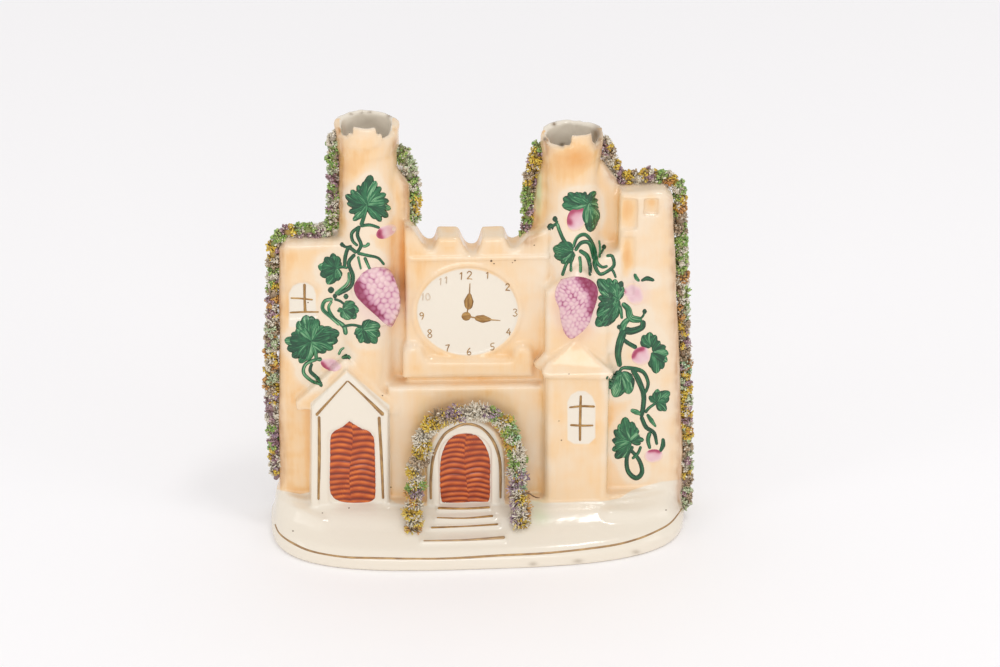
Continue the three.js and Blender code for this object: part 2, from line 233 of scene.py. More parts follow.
def press_slab(points, front, back, edge, soft, sunk=False):
    """Presses a front-view outline from front to back, its own edges rounded by edge."""
    xs, zs = zip(*points)
    flat = lambda x, z: outline(points, x, z)
    press((min(xs), front, min(zs)), (max(xs), back, max(zs)),
          lambda x, y, z: thick(flat(x, z), y, front, back, edge), soft, sunk)


def evened(field):
    """A field divided by its own slope, so that it reads as a distance near its zero."""
    slopes = np.gradient(field, STEP)
    return field / np.maximum(np.sqrt(sum(s * s for s in slopes)), 1e-3)


def eased(z, rows, blur):
    """Sizes stated at a few heights, read in between and averaged over blur mm, so that no kink is left."""
    fine = np.arange(-30, 250, 0.1)
    heights, sizes = zip(*rows)
    weights = np.hanning(int(blur / 0.1) + 3)
    return np.interp(z, fine, np.convolve(np.interp(fine, heights, sizes), weights / weights.sum(), "same"))


BACK, SEAM = 15.0, 4.5
BASE_ROWS = [
    (0, 98.2, 46.2, 19.2), (1, 99, 47, 20), (6, 99, 47, 20), (7.5, 98.2, 45.6, 19.6), (9.5, 97.6, 43, 19.2),
    (11.5, 97.2, 38.5, 19), (14, 96.8, 33, 18.6), (17, 96.2, 28, 18), (19, 95, 23.5, 17.2), (20, 93, 20, 16),
]
BASE_POWER = 3.1


def mound(x, y, z):
    """The base: at each height an oval of power 3.1, deeper in front than behind, its top swelling up
    inwards."""
    half, front, back = (eased(z, [(r[0], r[i]) for r in BASE_ROWS], 1.6) for i in (1, 2, 3))
    depth = np.where(y < 0, front, back)
    field = ((np.abs(x) / half) ** BASE_POWER + (np.abs(y) / depth) ** BASE_POWER) ** (1 / BASE_POWER) - 1
    side = evened(field)
    return np.maximum(np.maximum(side, z - 20.5), -z)


press((-99, -47, 0), (99, 20, 20.5), mound, 0.01)


def roll(points, radius):
    """A soft roll of clay: the distance to a line of points, less its radius."""
    def shape(x, y, z):
        away = 1e6
        for a, b in zip(points, points[1:]):
            way = np.subtract(b, a, dtype=float)
            dx, dy, dz = x - a[0], y - a[1], z - a[2]
            along = np.clip((dx * way[0] + dy * way[1] + dz * way[2]) / (way @ way), 0, 1)
            gap = np.sqrt(sum((d - along * w) ** 2 for d, w in zip((dx, dy, dz), way)))
            away = np.minimum(away, gap)
        return away - radius
    return shape


# Soft rolls join the walls to the base, left of the porch and right of the bay.
ROLLS = [
    [(-91.9, -7.7, 19.8), (-84.9, -17.9, 16.4), (-75.5, -24.2, 14.2)],
    [(61.6, -26.2, 15.0), (75, -25, 13.6), (88, -20, 12.4)],
]
for line in ROLLS:
    low, high = np.min(line, axis=0) - 3, np.max(line, axis=0) + 3
    press(low, high, roll(line, 1.4), 5.0)

# The steps: four slabs below the doorway, each lower one further forward and wider.
STEPS = [
    (20.2, -24.2, -20.4, 5.2), (17.6, -28.8, -21.6, 6.6), (15.0, -32.8, -24.0, 8.8),
    (12.6, -40.0, -28.8, 11.4),
]
for z, front, left, right in STEPS:
    press_slab([(left, 4), (left, z), (right, z), (right, 4)], front, 0, 0.8, 1.2)

# The walls: one slab for the back mould with the outline of the whole figure, the two wings with their
# sunk window and panels, and the clay that fills the corners beside the right tower.
press_slab([
    (-94.8, 4), (-93.3, 60), (-89.6, 149), (-86.5, 154), (-60, 154), (-48, 160), (-41, 187), (-35.5, 187.5),
    (-30.4, 181), (-29.6, 140), (27, 138), (32, 150), (45, 186), (57.5, 188.5), (63.8, 181), (65, 176),
    (86, 176.5), (88.6, 173), (98.2, 24), (98.2, 4),
], -4, BACK, 3.5, 3.0)
LEFT_WING = [(-94.8, 4), (-93.3, 60), (-89.8, 151.5), (-86.6, 155.5), (-55, 155.5), (-55, 4)]
RIGHT_WING = [
    (56, 4), (56, 96), (64.5, 122), (64.5, 178), (85, 178), (88.8, 174.5), (92.4, 120), (97.2, 44), (98.4, 4),
]
press_slab(LEFT_WING, -8, SEAM, 3.0, 2.0)
press_slab(arched(-79.6, 7, 116.5, 135), -10, -7.4, 0.1, 0.6, sunk=True)
press_slab(RIGHT_WING, -12, SEAM, 3.0, 2.0)
press_slab([(65.6, 160), (65.6, 175), (72.4, 175), (72.4, 160)], -14, -10.6, 0.1, 0.9, sunk=True)
press_slab([(75.2, 167), (75.2, 175.4), (81.8, 175.4), (81.8, 167)], -14, -10.2, 0.1, 0.9, sunk=True)
press_slab([(65.6, 126), (65.6, 156), (71.6, 156), (71.6, 126)], -14, -11.2, 0.1, 0.9, sunk=True)
press_slab([(52, 96), (52, 142), (58, 148), (65.2, 148), (65.2, 96)], -13.4, 0, 2.5, 3.5)
press_slab([(24, 138), (25, 152), (26, 168), (28, 184), (32, 196), (40, 197), (40, 138)], -2.5, 9, 2.0, 3.5)
# The clock wall with its battlements and moulding, the wall below it, and the console under the clock.
CURTAIN = traced(
    (-33, 4), (-33, 164), (-29.9, 162.4), [(-26, 157), (-25, 150.2), (-20.9, 150.2)],
    [(-18.2, 150.2), (-18.4, 156.3), (-16.9, 156.3)], (-8.6, 156.1), [(-6.2, 155), (-6.4, 147), (-1.7, 147)],
    [(2.0, 147), (1.6, 155.8), (3.2, 155.8)], (12.2, 155.6), [(14, 154.5), (13.6, 149.6), (16.7, 149.6)],
    [(20.5, 149.6), (21, 154.6), (24, 156)], (33, 160), (33, 4),
)
press_slab(CURTAIN, -9, SEAM, 1.8, 2.0)
press_slab([(-31, 145.2), (-31, 147.4), (33, 146.6), (33, 144.4)], -9.9, 0, 1.0, 0.9)
press_slab([(-42, 4), (-42, 81.3), (33, 79.9), (33, 4)], -14, 0, 1.8, 1.6)
CONSOLE = traced(
    (-35, 84.6), (-34.6, 97.5), [(-34, 103.5), (-26.5, 103.5), (-25.2, 98.5)],
    [(-24.4, 95.5), (-23.6, 94.2), (-21, 94.2)], (14.4, 93), [(16, 93), (16, 96), (17, 98)],
    [(18.6, 101.6), (24.6, 101), (25.4, 96)], (25.8, 83.4),
)
press_slab(CONSOLE, -12.3, 0, 2.6, 2.8)

# The towers.
TOWER_Y = 1.5
LEFT_TOWER = dict(x=-48.8, radius=13.3, crown=14.5, lean=-3.2, swell=2.4, collar=198, rim=210.5, merlon=214,
                  floor=208, face=(-54.8, -44.6), notch=(-56.4, -42.4))
RIGHT_TOWER = dict(x=43.4, radius=13.2, crown=14.3, lean=1.4, swell=0.6, collar=192.5, rim=202.5,
                   merlon=207.8, floor=200.8, face=(42.2, 51.3), notch=(39.6, 52.4))


def press_tower(t):
    """A tower: at each height an ellipse about a line that leans a little, fuller in front lower down,
    with a collar under its crown."""
    radius, lean, swell, collar, rim = t["radius"], t["lean"], t["swell"], t["collar"], t["rim"]

    def shape(x, y, z):
        shift = eased(z, [(8, lean), (85, lean), (128, lean * 0.7), (158, lean * 0.3), (190, 0)], 20)
        half = eased(z, [(8, radius + 0.9), (85, radius + 0.5), (128, radius + 0.3), (158, radius),
                         (collar - 1, radius), (collar + 1.5, t["crown"] - 0.5), (rim, t["crown"])], 2.4)
        front = eased(z, [(8, radius + swell), (85, radius + swell), (128, radius + swell * 0.85),
                          (158, radius + swell * 0.3), (collar - 1, radius), (collar + 1.5, t["crown"] - 0.5),
                          (rim, t["crown"])], 2.4)
        depth = np.where(y < TOWER_Y, front, BACK - TOWER_Y)
        side = (np.hypot((x - t["x"] - shift) / half, (y - TOWER_Y) / depth) - 1) * np.minimum(half, depth)
        return np.maximum(np.maximum(side, z - rim), 6 - z) + 0 * x

    press((t["x"] - 19, -17, 4), (t["x"] + 19, BACK, rim), shape, 2.2)


TOWERS = (LEFT_TOWER, RIGHT_TOWER)
for tower in TOWERS:
    press_tower(tower)

# The bay right of the doorway: an upper stage with a gable, a deeper lower one with a window, a cornice
# and a hipped roof, and a small knob left of the roof.
press_slab([(31, 4), (31, 130), (45.6, 143.4), (59.9, 129.6), (60.5, 4)], -16, 0, 2.4, 2.4)
press_slab([(31, 4), (31, 91.5), (60.5, 89.5), (60.5, 4)], -20.6, 0, 3.0, 2.6)
press_slab(arched(47.7, 6.9, 50.5, 79.5), -23, -20.4, 0.1, 0.6, sunk=True)
press_slab([(30, 88.4), (30, 91.6), (61.5, 89.4), (61.5, 86.6)], -21.9, 0, 1.6, 2.4)


def hip(x, y, z):
    """The hipped roof: the gable's outline and a pitch that leans back from the cornice to the upper bay."""
    gable = outline([(30, 91), (31.5, 95.2), (45.6, 104.5), (60.5, 91.5), (61.5, 89)], x, z)
    run, rise = 6.5, 16.0
    pitch = ((z - 89) * run - (y + 22.5) * rise) / np.hypot(run, rise)
    return np.maximum(np.maximum(gable, pitch), -21.8 - y)


press((30, -22.5, 89), (61.5, 0, 104.5), hip, 3.4)
press((26, -17, 88), (34, -9, 97), roll([(28.6, -12.6, 91), (31.4, -13.6, 94.5)], 2.5), 2.0)

# The porch: a gabled front on a larger gable, its panel and the door sunk a little.
PORCH_GABLE = [(-80.1, 8), (-77.6, 74.8), (-61.1, 93.8), (-41.9, 70.4), (-42.7, 8)]
PORCH_PANEL = [(-75.6, 20.2), (-75.2, 70.2), (-60.5, 88.4), (-45, 69.6), (-45.7, 20.2)]
PORCH_DOOR = traced(
    (-68.4, 20.4), [(-70.2, 20.4), (-71, 21.5), (-71, 24)], (-70.4, 56),
    [(-70.3, 59.5), (-69.2, 61), (-66.5, 61.8)], [(-63.9, 62.6), (-62, 64), (-60.1, 66.6)],
    [(-58, 64), (-56, 62.4), (-52.5, 61)], [(-50, 60), (-48.6, 58.5), (-48.4, 55)], (-48.3, 24),
    [(-48.4, 21.5), (-49.2, 20.4), (-51, 20.4)],
)
press_slab([(-84.4, 70.5), (-84.6, 74.4), (-61.1, 98), (-37.2, 70.6), (-37, 66.6), (-44, 66.6), (-61.1, 87),
            (-77, 70.5)], -14.5, 0, 1.6, 1.4)
press_slab(PORCH_GABLE, -18.5, 0, 1.6, 1.4)
press_slab(PORCH_PANEL, -20.5, -17.9, 0.1, 0.8, sunk=True)
press_slab(PORCH_DOOR, -20.5, -17.1, 0.1, 0.7, sunk=True)

# The doorway: two round-headed frames, one within the other, and the door sunk in them.
ARCH_X = -6.6
press_slab(arched(ARCH_X + 0.2, 18.4, 4, 66.6), -20.7, 0, 1.2, 1.4)
press_slab(arched(ARCH_X + 0.2, 15.9, 4, 63.7), -21.5, 0, 0.9, 0.8)
press_slab(arched(ARCH_X, 12.3, 20.2, 59.5), -23.5, -19.5, 0.1, 0.9, sunk=True)

# The clock: a raised round rim with the dial sunk in it.
CLOCK_X, CLOCK_Z, RIM_RADIUS, DIAL_RADIUS = -4.7, 118.2, 25.5, 23.3


def disc(radius, front, back, edge):
    """A round slab about the clock's middle: the distance from its axis less its radius, carried from
    front to back."""
    return lambda x, y, z: thick(np.hypot(x - CLOCK_X, z - CLOCK_Z) - radius, y, front, back, edge)


press((-31, -10, 90), (21, 0, 145), disc(RIM_RADIUS, -9.7, 0, 0.7), 0.9)
press((-31, -12, 90), (21, -8, 145), disc(DIAL_RADIUS, -12, -8.8, 0.1), 0.6, sunk=True)


BUNCH_DEPTH = 3.4


def bunch(x, y, z, half, height, lean):
    """A bunch of grapes: a flat ellipsoid that tapers downwards and leans by lean."""
    def shape(gx, gy, gz):
        w = (gz - z) / height
        u = (gx - x - lean * w) / (half * np.clip(0.86 + 0.2 * w, 0.5, 1.2))
        v = (gy - y) / BUNCH_DEPTH
        return evened(np.sqrt(u * u + v * v + w * w) - 1)
    press((x - half - 4, y - BUNCH_DEPTH, z - height), (x + half + 4, 0, z + height), shape, 1.6)


# The two bunches of grapes stand out of the wall as low mounds.
bunch(-46.0, -12.0, 129.4, 12, 15.8, -3)
bunch(45.2, -15.4, 122.6, 9.8, 16.4, 0.4)

# The crowns and bores of the towers: a raised merlon in front, a notch at each side of it, and the open
# bore.
for t in TOWERS:
    cx, rim, merlon = t["x"], t["rim"], t["merlon"]
    ring = lambda x, y, r: np.hypot(x - cx, y - TOWER_Y) - r
    left, right = t["face"]
    face = [(left - 1.8, rim - 6), (left, merlon), (right, merlon), (right + 1.4, rim - 6)]
    press((left - 2, -16, rim - 6), (right + 2, -4, merlon),
          lambda x, y, z: np.maximum(thick(outline(face, x, z), y, -18, -3, 0.9),
                                     ring(x, y, t["crown"])), 0.8)
    near, far, top = cx - t["crown"] * 0.86, cx + t["crown"] * 0.86, rim + 4
    floor, (a, b) = t["floor"], t["notch"]
    press_slab([(near, floor), (near - 0.8, top), (a, top), (a - 0.8, floor)], -16, -3, 0.6, 0.9, sunk=True)
    press_slab([(b + 0.8, floor), (b, top), (far + 0.8, top), (far, floor)], -16, -3, 0.6, 0.9, sunk=True)
    bore = lambda x, y, z: ring(x, y, eased(z, [(0, 10.4), (t["collar"], 10.4), (rim, 11.4)], 4)) + 0 * z
    press((cx - 12, -11, 5), (cx + 12, 14, merlon + 2),
          lambda x, y, z: np.maximum(bore(x, y, z), 5 - z), 0.9, sunk=True)


def unit(vectors):
    """Vectors divided by their own length."""
    return vectors / np.maximum(np.linalg.norm(vectors, axis=-1, keepdims=True), 1e-9)


# The press leaves no line quite true: the free edges wander by a few tenths of a millimetre, the crowns
# by more.
wander = np.random.default_rng(5)
gx, gy, gz = np.ix_(*GRID)
free = np.clip((gz - 148) / 20, 0, 1) + np.clip((np.abs(gx) - 76) / 12, 0, 1) * (gz > 24)
at_crowns = np.clip((gz - 194) / 8, 0, 1)
for length, depth, crown in ((26, 0.2, 0.0), (15, 0.14, 0.05), (8.5, 0.06, 0.12), (5.2, 0.0, 0.1)):
    for _ in range(3):
        way = unit(wander.normal(size=3)) * 2 * pi / length
        wave = np.sin(way[0] * gx + way[1] * gy + way[2] * gz + wander.uniform(0, 2 * pi))
        body += (wave * (depth * free + crown * at_crowns)).astype(np.float32) * 0.6


def read(values, points):
    """Values on the grid read at points in millimetres, by linear mixing of the eight nearest."""
    place = (points - LOW) / STEP
    place = np.clip(place, 0, np.array(values.shape) - 1.001)
    first = place.astype(int)
    part = place - first
    total = 0
    for corner in np.ndindex(2, 2, 2):
        weight = np.prod(np.where(corner, part, 1 - part), axis=1)
        total = total + weight * values[tuple((first + corner).T)]
    return total


def skin(field):
    """The surface where a field is nought: a point in each cell that it crosses, at the mean of the
    crossings on the cell's edges, and a quad across each grid edge whose ends differ in sign."""
    inside = field < 0
    size = np.array(field.shape) - 1
    corners = sum(inside[i:size[0] + i, j:size[1] + j, k:size[2] + k].astype(np.int8)
                  for i, j, k in np.ndindex(2, 2, 2))
    cells = np.argwhere((corners > 0) & (corners < 8))
    number = np.full(size, -1, np.int32)
    number[tuple(cells.T)] = np.arange(len(cells))
    total, hits = np.zeros((len(cells), 3)), np.zeros(len(cells))
    faces = []
    for axis in range(3):
        ahead, u, v = np.roll(np.eye(3, dtype=int), -axis, axis=0)
        for offset in (0 * u, u, v, u + v):
            a = field[tuple((cells + offset).T)]
            b = field[tuple((cells + offset + ahead).T)]
            crossed = (a < 0) != (b < 0)
            share = np.where(crossed, a / np.where(crossed, a - b, 1), 0)
            total += (offset + share[:, None] * ahead) * crossed[:, None]
            hits += crossed
        here = tuple(slice(None, -1 if n == axis else None) for n in range(3))
        beyond = tuple(slice(1 if n == axis else 0, None) for n in range(3))
        change = np.argwhere(inside[here] != inside[beyond])
        change = change[((change > 0) | (ahead > 0)).all(axis=1)]
        change = change[(change < size).all(axis=1)]
        ring = np.stack([number[tuple((change - s).T)] for s in (u + v, v, 0 * u, u)], axis=1)
        outward = inside[tuple(change.T)]
        faces.append(np.where(outward[:, None], ring, ring[:, ::-1]))
    return LOW + STEP * (cells + total / hits[:, None]), np.concatenate(faces)


points, faces = skin(body)
slopes = np.gradient(body, STEP)


def slope_at(points):
    """The direction that leaves the body fastest, at each point."""
    return np.stack([read(s, points) for s in slopes], axis=1)


def add_colours(made, name, colours):
    """Keeps a colour for each point of a mesh, red, green, blue and alpha."""
    layer = made.data.attributes.new(name, "FLOAT_COLOR", "POINT")
    layer.data.foreach_set("color", np.asarray(colours, np.float32).ravel())


def in_towers(points, radius):
    """Which points lie within a radius of either tower's axis."""
    return np.any([np.hypot(points[:, 0] - t["x"], points[:, 1] - TOWER_Y) < radius for t in TOWERS], axis=0)


# A few moves along the slope bring the points onto the surface. The flat back, the underside and the
# inside of the towers are plain, so they are thinned to larger triangles.
for _ in range(3):
    slope = slope_at(points)
    push = np.clip(read(body, points) / np.maximum((slope ** 2).sum(axis=1), 0.05), -0.6, 0.6)
    points = points - push[:, None] * slope
castle = add_object("castle_body", points, faces)
plain = (points[:, 1] > 12.5) | (points[:, 2] < 0.6) | (in_towers(points, 11.6) & (points[:, 2] < 192))
group = castle.vertex_groups.new(name="plain")
group.add(np.flatnonzero(plain).tolist(), 1.0, "REPLACE")
group.add(np.flatnonzero(~plain).tolist(), 0.0, "REPLACE")
BODY_TRIANGLES = 196000
thin = castle.modifiers.new("thinned", "DECIMATE")
thin.ratio, thin.vertex_group = BODY_TRIANGLES / (2 * len(faces)), "plain"
applied = castle.evaluated_get(bpy.context.evaluated_depsgraph_get())
castle.data = bpy.data.meshes.new_from_object(applied)
castle.modifiers.clear()
castle.vertex_groups.clear()

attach(castle, "root")
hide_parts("castle")


# Shredded clay: clay pushed through a sieve into short threads, set in tufts along the seam of the two
# moulds and round the doorway, and dabbed with colours tuft by tuft before it was glazed. The stains are
# green, lime, teal, mauve, plum, yellow, ochre, brown and cream.
STAINS = {
    "g": ["#90b052", "#b0c66c", "#76a048"],
    "l": ["#b9c79c", "#d0d6b6", "#a5b886"],
    "t": ["#a9d0a2", "#8fbf8a", "#c6dcba"],
    "m": ["#a57e8a", "#c2a3a8", "#875e6c"],
    "p": ["#a18497", "#86697f", "#bca4b4"],
    "y": ["#dcb62c", "#caa232", "#e6cc50"],
    "o": ["#cf9648", "#d8a757", "#bd7e3c"],
    "b": ["#b0977a", "#c4ab8c", "#967d5f"],
    "c": ["#e0d6c2", "#cdc0a8", "#ebe3d2"],
}
# Brown for glaze pooled between the threads and for painted shade deep in the strip.
SHADE_AND_GLAZE_BROWN = linear("#6b5540")
LINE_STEP, DAB_LENGTH = 0.5, 3.2
CORE_SHARE, TUFT_SHARE, ROOT_SHARE = 0.46, 0.66, 0.42
CORE_SIDES, THREAD_SIDES = 12, 4


def flowing(points, spacing):
    """A smooth line through the points, evened out to one spacing: between two points it is the cubic
    that leaves each along the line that joins its neighbours."""
    p = np.asarray(points, float)
    padded = np.vstack([2 * p[0] - p[1], p, 2 * p[-1] - p[-2]])
    t = np.linspace(0, 1, 24, endpoint=False)[:, None]
    spans = [0.5 * (2 * b + (c - a) * t + (2 * a - 5 * b + 4 * c - d) * t ** 2
                    + (3 * b - a - 3 * c + d) * t ** 3)
             for a, b, c, d in zip(padded, padded[1:], padded[2:], padded[3:])]
    line = np.vstack([*spans, p[-1:]])
    run = np.concatenate([[0], np.cumsum(np.linalg.norm(np.diff(line, axis=0), axis=1))])
    at = np.linspace(0, run[-1], max(3, round(run[-1] / spacing) + 1))
    return np.stack([np.interp(at, run, column) for column in line.T], axis=1)


def tube(rows, sides):
    """The faces of an open tube of rows of points, so many round it: a quad between each two neighbours
    of a row and the same two of the next."""
    r, k = np.meshgrid(np.arange(rows - 1) * sides, np.arange(sides), indexing="ij")
    after = (k + 1) % sides
    return np.stack([r + k, r + after, r + sides + after, r + sides + k], axis=-1).reshape(-1, 4)


def add_piece(name, points, faces, material):
    """A mesh object that belongs to the castle."""
    made = add_object(name, points, faces)
    made.data.materials.append(material)
    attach(made, "root")
    return made


def shredded(name, path, stains, radius, around, spacing, threads, seed, half_turn=pi, long=1.0,
             girths=(0.4, 0.54), sway=0.3):
    """A strip of tufts along a path. Tufts stand every spacing mm along it, so many around, within
    half_turn of the front. In each, threads start together and fan out into a half ball, and each curls
    as a parabola. The mixes of stains are spread evenly along the strip, and a tuft takes a stain drawn
    from its stretch's mix; tufts side by side on the outer or the inner half share it, as one dab of the
    brush."""
    draw = np.random.default_rng(seed)
    line = flowing(path, LINE_STEP)
    for length in (9.0, 4.3):
        turns = np.arange(len(line))[:, None] * LINE_STEP * 2 * pi / length
        line = line + sway * np.sin(turns + draw.uniform(0, 2 * pi, 3))
    ahead = unit(np.gradient(line, axis=0))
    out = unit(np.cross(ahead, [0, 1, 0]))
    fore = unit(np.cross(out, ahead))
    fore = fore if fore[:, 1].mean() < 0 else -fore
    run = np.arange(len(line)) * LINE_STEP
    taper = np.sqrt(np.clip(np.minimum(run, run[-1] - run) / radius + 0.3, 0.1, 1))
    palette = {key: np.array([linear(c) for c in colours]) for key, colours in STAINS.items()}

    def on_ring(index, turn, reach):
        return line[index] + reach[..., None] * (np.sin(turn)[..., None] * out[index]
                                                 + np.cos(turn)[..., None] * fore[index])

    mixes = [stains[int(share * len(stains))] for share in np.arange(0, 1, DAB_LENGTH / run[-1])]
    dabs = np.array([[mix[k] for k in draw.integers(0, len(mix), 2)] for mix in mixes])

    def dabbed(index, outer):
        share = np.clip(run[index] / run[-1], 0, 0.999)
        return dabs[(share * len(dabs)).astype(int), outer.astype(int)]

    index = np.arange(0, len(line), 2)
    rows = len(index)
    spin = np.linspace(0, 2 * pi, CORE_SIDES, endpoint=False)
    core_at, core_turn = np.meshgrid(index, spin, indexing="ij")
    core = on_ring(core_at, core_turn, radius * CORE_SHARE * taper[core_at])
    fan = np.arange(1, CORE_SIDES - 2, 2)[:, None] + np.array([0, 1, 2])
    cap = np.hstack([np.zeros((len(fan), 1), int), fan])

    slots = int(run[-1] / spacing)
    place, turn = np.meshgrid((np.arange(slots) + 0.5) * spacing, np.arange(around) / around, indexing="ij")
    turn = turn + 0.5 / around * (np.arange(slots) % 2)[:, None] + draw.normal(0, 0.05, turn.shape)
    turn = (((turn % 1) * 2 - 1) * half_turn).ravel()
    at = (place + draw.normal(0, 0.22 * spacing, place.shape)) / LINE_STEP
    at = np.clip(at, 0, len(line) - 1).astype(int).ravel()
    size = radius * TUFT_SHARE * draw.uniform(0.6, 1.15, len(at)) * taper[at]
    size *= (1 + 0.16 * np.sin(run[at] * 2 * pi / 7.3 + 1.7 * np.sin(turn))
             + 0.1 * np.sin(run[at] * 2 * pi / 3.9 + turn))
    away = unit(np.sin(turn)[:, None] * out[at] + np.cos(turn)[:, None] * fore[at])
    middle = on_ring(at, turn, np.maximum(radius - size, 0.2 * radius))

    tuft = np.repeat(np.arange(len(at)), threads)
    count = len(tuft)
    heading = unit(away[tuft] * 0.55 + unit(draw.normal(size=(count, 3))))
    curl = unit(np.cross(heading, draw.normal(size=(count, 3))))
    reach = size[tuft] * draw.uniform(0.84, 1.1, count) * long
    root = middle[tuft] + heading * (size[tuft] * ROOT_SHARE)[:, None] + draw.normal(0, 0.2, (count, 3))
    t = np.array([0.0, 0.5, 1.0])
    length = (reach - size[tuft] * ROOT_SHARE)[:, None]
    spine = (root[:, None] + heading[:, None] * (length * t)[..., None]
             + curl[:, None] * (length * 0.45 * t ** 2)[..., None])
    side = unit(np.cross(heading, curl + 0.3 * draw.normal(size=(count, 3))))
    up = np.cross(heading, side)
    girth = draw.uniform(*girths, count)[:, None] * np.array([0.9, 1.0, 0.85])
    spin = np.arange(THREAD_SIDES) * 2 * pi / THREAD_SIDES
    ring = np.cos(spin)[:, None] * side[:, None, None] + np.sin(spin)[:, None] * up[:, None, None]
    tubes = spine[:, :, None] + girth[:, :, None, None] * ring
    one = np.vstack([tube(3, THREAD_SIDES), [[3, 2, 1, 0], [8, 9, 10, 11]]])
    start = rows * CORE_SIDES + 3 * THREAD_SIDES * np.arange(count)[:, None, None]
    faces = np.concatenate([tube(rows, CORE_SIDES)[:, ::-1], cap, cap[:, ::-1] + (rows - 1) * CORE_SIDES,
                            (one + start).reshape(-1, 4)])
    points = np.concatenate([core.reshape(-1, 3), tubes.reshape(-1, 3)])
    made = add_piece(name, points, faces, shredded_clay)

    pick = dabbed(at, np.sin(turn) + draw.normal(0, 0.2, len(at)) > 0)
    stain = np.array([palette[key] for key in pick])[tuft, draw.integers(0, 3, count)]
    cream = palette["c"][draw.integers(0, 3, count)]
    pale = (draw.uniform(size=len(at)) < 0.05)[tuft] | (draw.uniform(size=count) < 0.09)
    stain = np.where(pale[:, None], cream, stain)
    share = np.array([0.45, 0.85, 1.0])[None, :, None]
    colour = cream[:, None] * (1 - share) + stain[:, None] * share
    # Threads darken towards the brown nearer the strip's middle, and the core is mostly brown: pooled glaze
    # and painted shade between the threads.
    height = np.linalg.norm(spine - line[at][tuft][:, None], axis=2) / radius
    depth = np.interp(height, [0.45, 0.72, 0.95], [0.38, 0.82, 1.0]) * np.array([0.7, 0.95, 1.0])
    colour[..., :3] = colour[..., :3] * depth[..., None] + np.array(SHADE_AND_GLAZE_BROWN[:3]) * (1 - depth[..., None])
    core_pick = dabbed(core_at, np.sin(core_turn) > 0).ravel()
    core_colour = np.array([palette[key][0] for key in core_pick]) * 0.4 + np.array(SHADE_AND_GLAZE_BROWN) * 0.6
    thread_colour = np.repeat(colour, THREAD_SIDES, axis=1).reshape(-1, 4)
    add_colours(made, "stain", np.concatenate([core_colour, thread_colour]))
    return line


shredded_clay, tree, shader = new_material("stained shredded clay", Roughness=0.3, IOR=1.5)
stain = node(tree, "Attribute", {"attribute_name": "stain"})
place = node(tree, "TexCoord")
crumbs = node(tree, "TexNoise", Vector=place.outputs["Object"], Scale=1100.0, Detail=2.0)
crumbly = node(tree, "Bump", Strength=0.6, Distance=0.0004, Height=crumbs)
feed(shader, Base_Color=stain, Normal=crumbly)

# Each strip's path and mixes, then its radius, tufts around, spacing, threads in a tuft and seed.
strips = [
    shredded("shredded_clay_left", [
        (-63.4, 1, 206.5), (-64, 0, 190.6), (-64, 0, 175.4), (-65, 0, 165.3), (-66, 0, 159.6),
        (-71, -1, 158.2), (-80.1, -1, 158.4), (-87.5, -1, 156.6), (-91.8, -2, 151), (-93.6, -3, 124),
        (-95.6, -3, 92), (-96.2, -3, 69), (-95.9, -3.2, 47), (-95.8, -3.5, 27)],
        ["lmcg", "bcmyg", "ycbmlo", "mcgymp"],
        3.7, 5, 2.8, 21, 11),
    shredded("shredded_clay_left_tower", [(-34, 2, 197.5), (-30.2, 2, 188), (-28.4, 2, 176), (-29, 2, 159)],
             ["cmgl", "ggygl"], 4.0, 5, 2.9, 21, 12),
    shredded("shredded_clay_right_tower",
             [(29.8, 1, 198), (25.2, 1, 182.4), (24.2, 1, 167.2), (24, 1, 149.5)],
             ["mbgy", "ygmgg"], 4.0, 5, 2.9, 21, 13),
    shredded("shredded_clay_right", [
        (57.6, 3, 198.5), (61.2, 3, 190), (64.3, 2, 182.2), (69, 0, 180), (76.8, 0, 181.4), (86.5, 0, 180),
        (92, -2, 176), (92.7, -3, 162), (94.0, -4, 144), (95.2, -5, 118), (96.6, -6, 92), (98.2, -7, 65),
        (99.2, -8, 38), (99.4, -9, 16), (99.6, -9.5, 7)],
        ["mbyc", "bcyog", "gobcg", "yltmbo", "ymcoly", "bmcyl"],
        3.6, 5, 2.9, 21, 14),
    shredded("shredded_clay_wreath", [
        (-31.6, -32.5, 15.0), (-31, -28.5, 23), (-29.8, -23.5, 36.5), (-27.4, -21.5, 51.8),
        (-23, -21, 64.2), (-15, -22, 70.6), (-6.3, -22, 72), (5.5, -22, 70.8), (13.3, -22, 64),
        (17, -22.5, 48), (18, -24.5, 33), (18.8, -29, 21), (19.4, -33.5, 13.6)],
        ["pcyyo", "ybglc", "pcyyc", "cpyby", "ccppcy", "pgyyct", "gtcyop", "tgcpyg", "pyyoc"],
        4.4, 5, 3.0, 30, 15, half_turn=1.7, long=1.22, girths=(0.28, 0.4), sway=0.55),
]


# The vine is painted in green enamel with a full round brush: each dab or stem is one pull of the brush
# that leaves a thin film with lighter streaks. Its places are read off the front view, and each lies on
# the glaze behind them. ACROSS and FILM are the section of a pull: places over its width, and how high
# the film stands there, in mm.
ACROSS = np.array([-1, -0.6, 0, 0.6, 1, 0.6, 0, -0.6])
FILM = np.array([-0.03, 0.10, 0.13, 0.10, -0.03, -0.15, -0.15, -0.15])
RIBBON_ENDS = np.array([[0, 1, 6, 7], [1, 2, 5, 6], [2, 3, 4, 5]])
OVERLAP, STREAK_SHIFT = 0.022, 11
PIXEL = DISTANCE / FOCUS


def at_depth(way, y):
    """Where sight lines cross the upright plane at one depth."""
    return EYE + way * ((y - EYE[1]) / way[:, 1])[:, None]


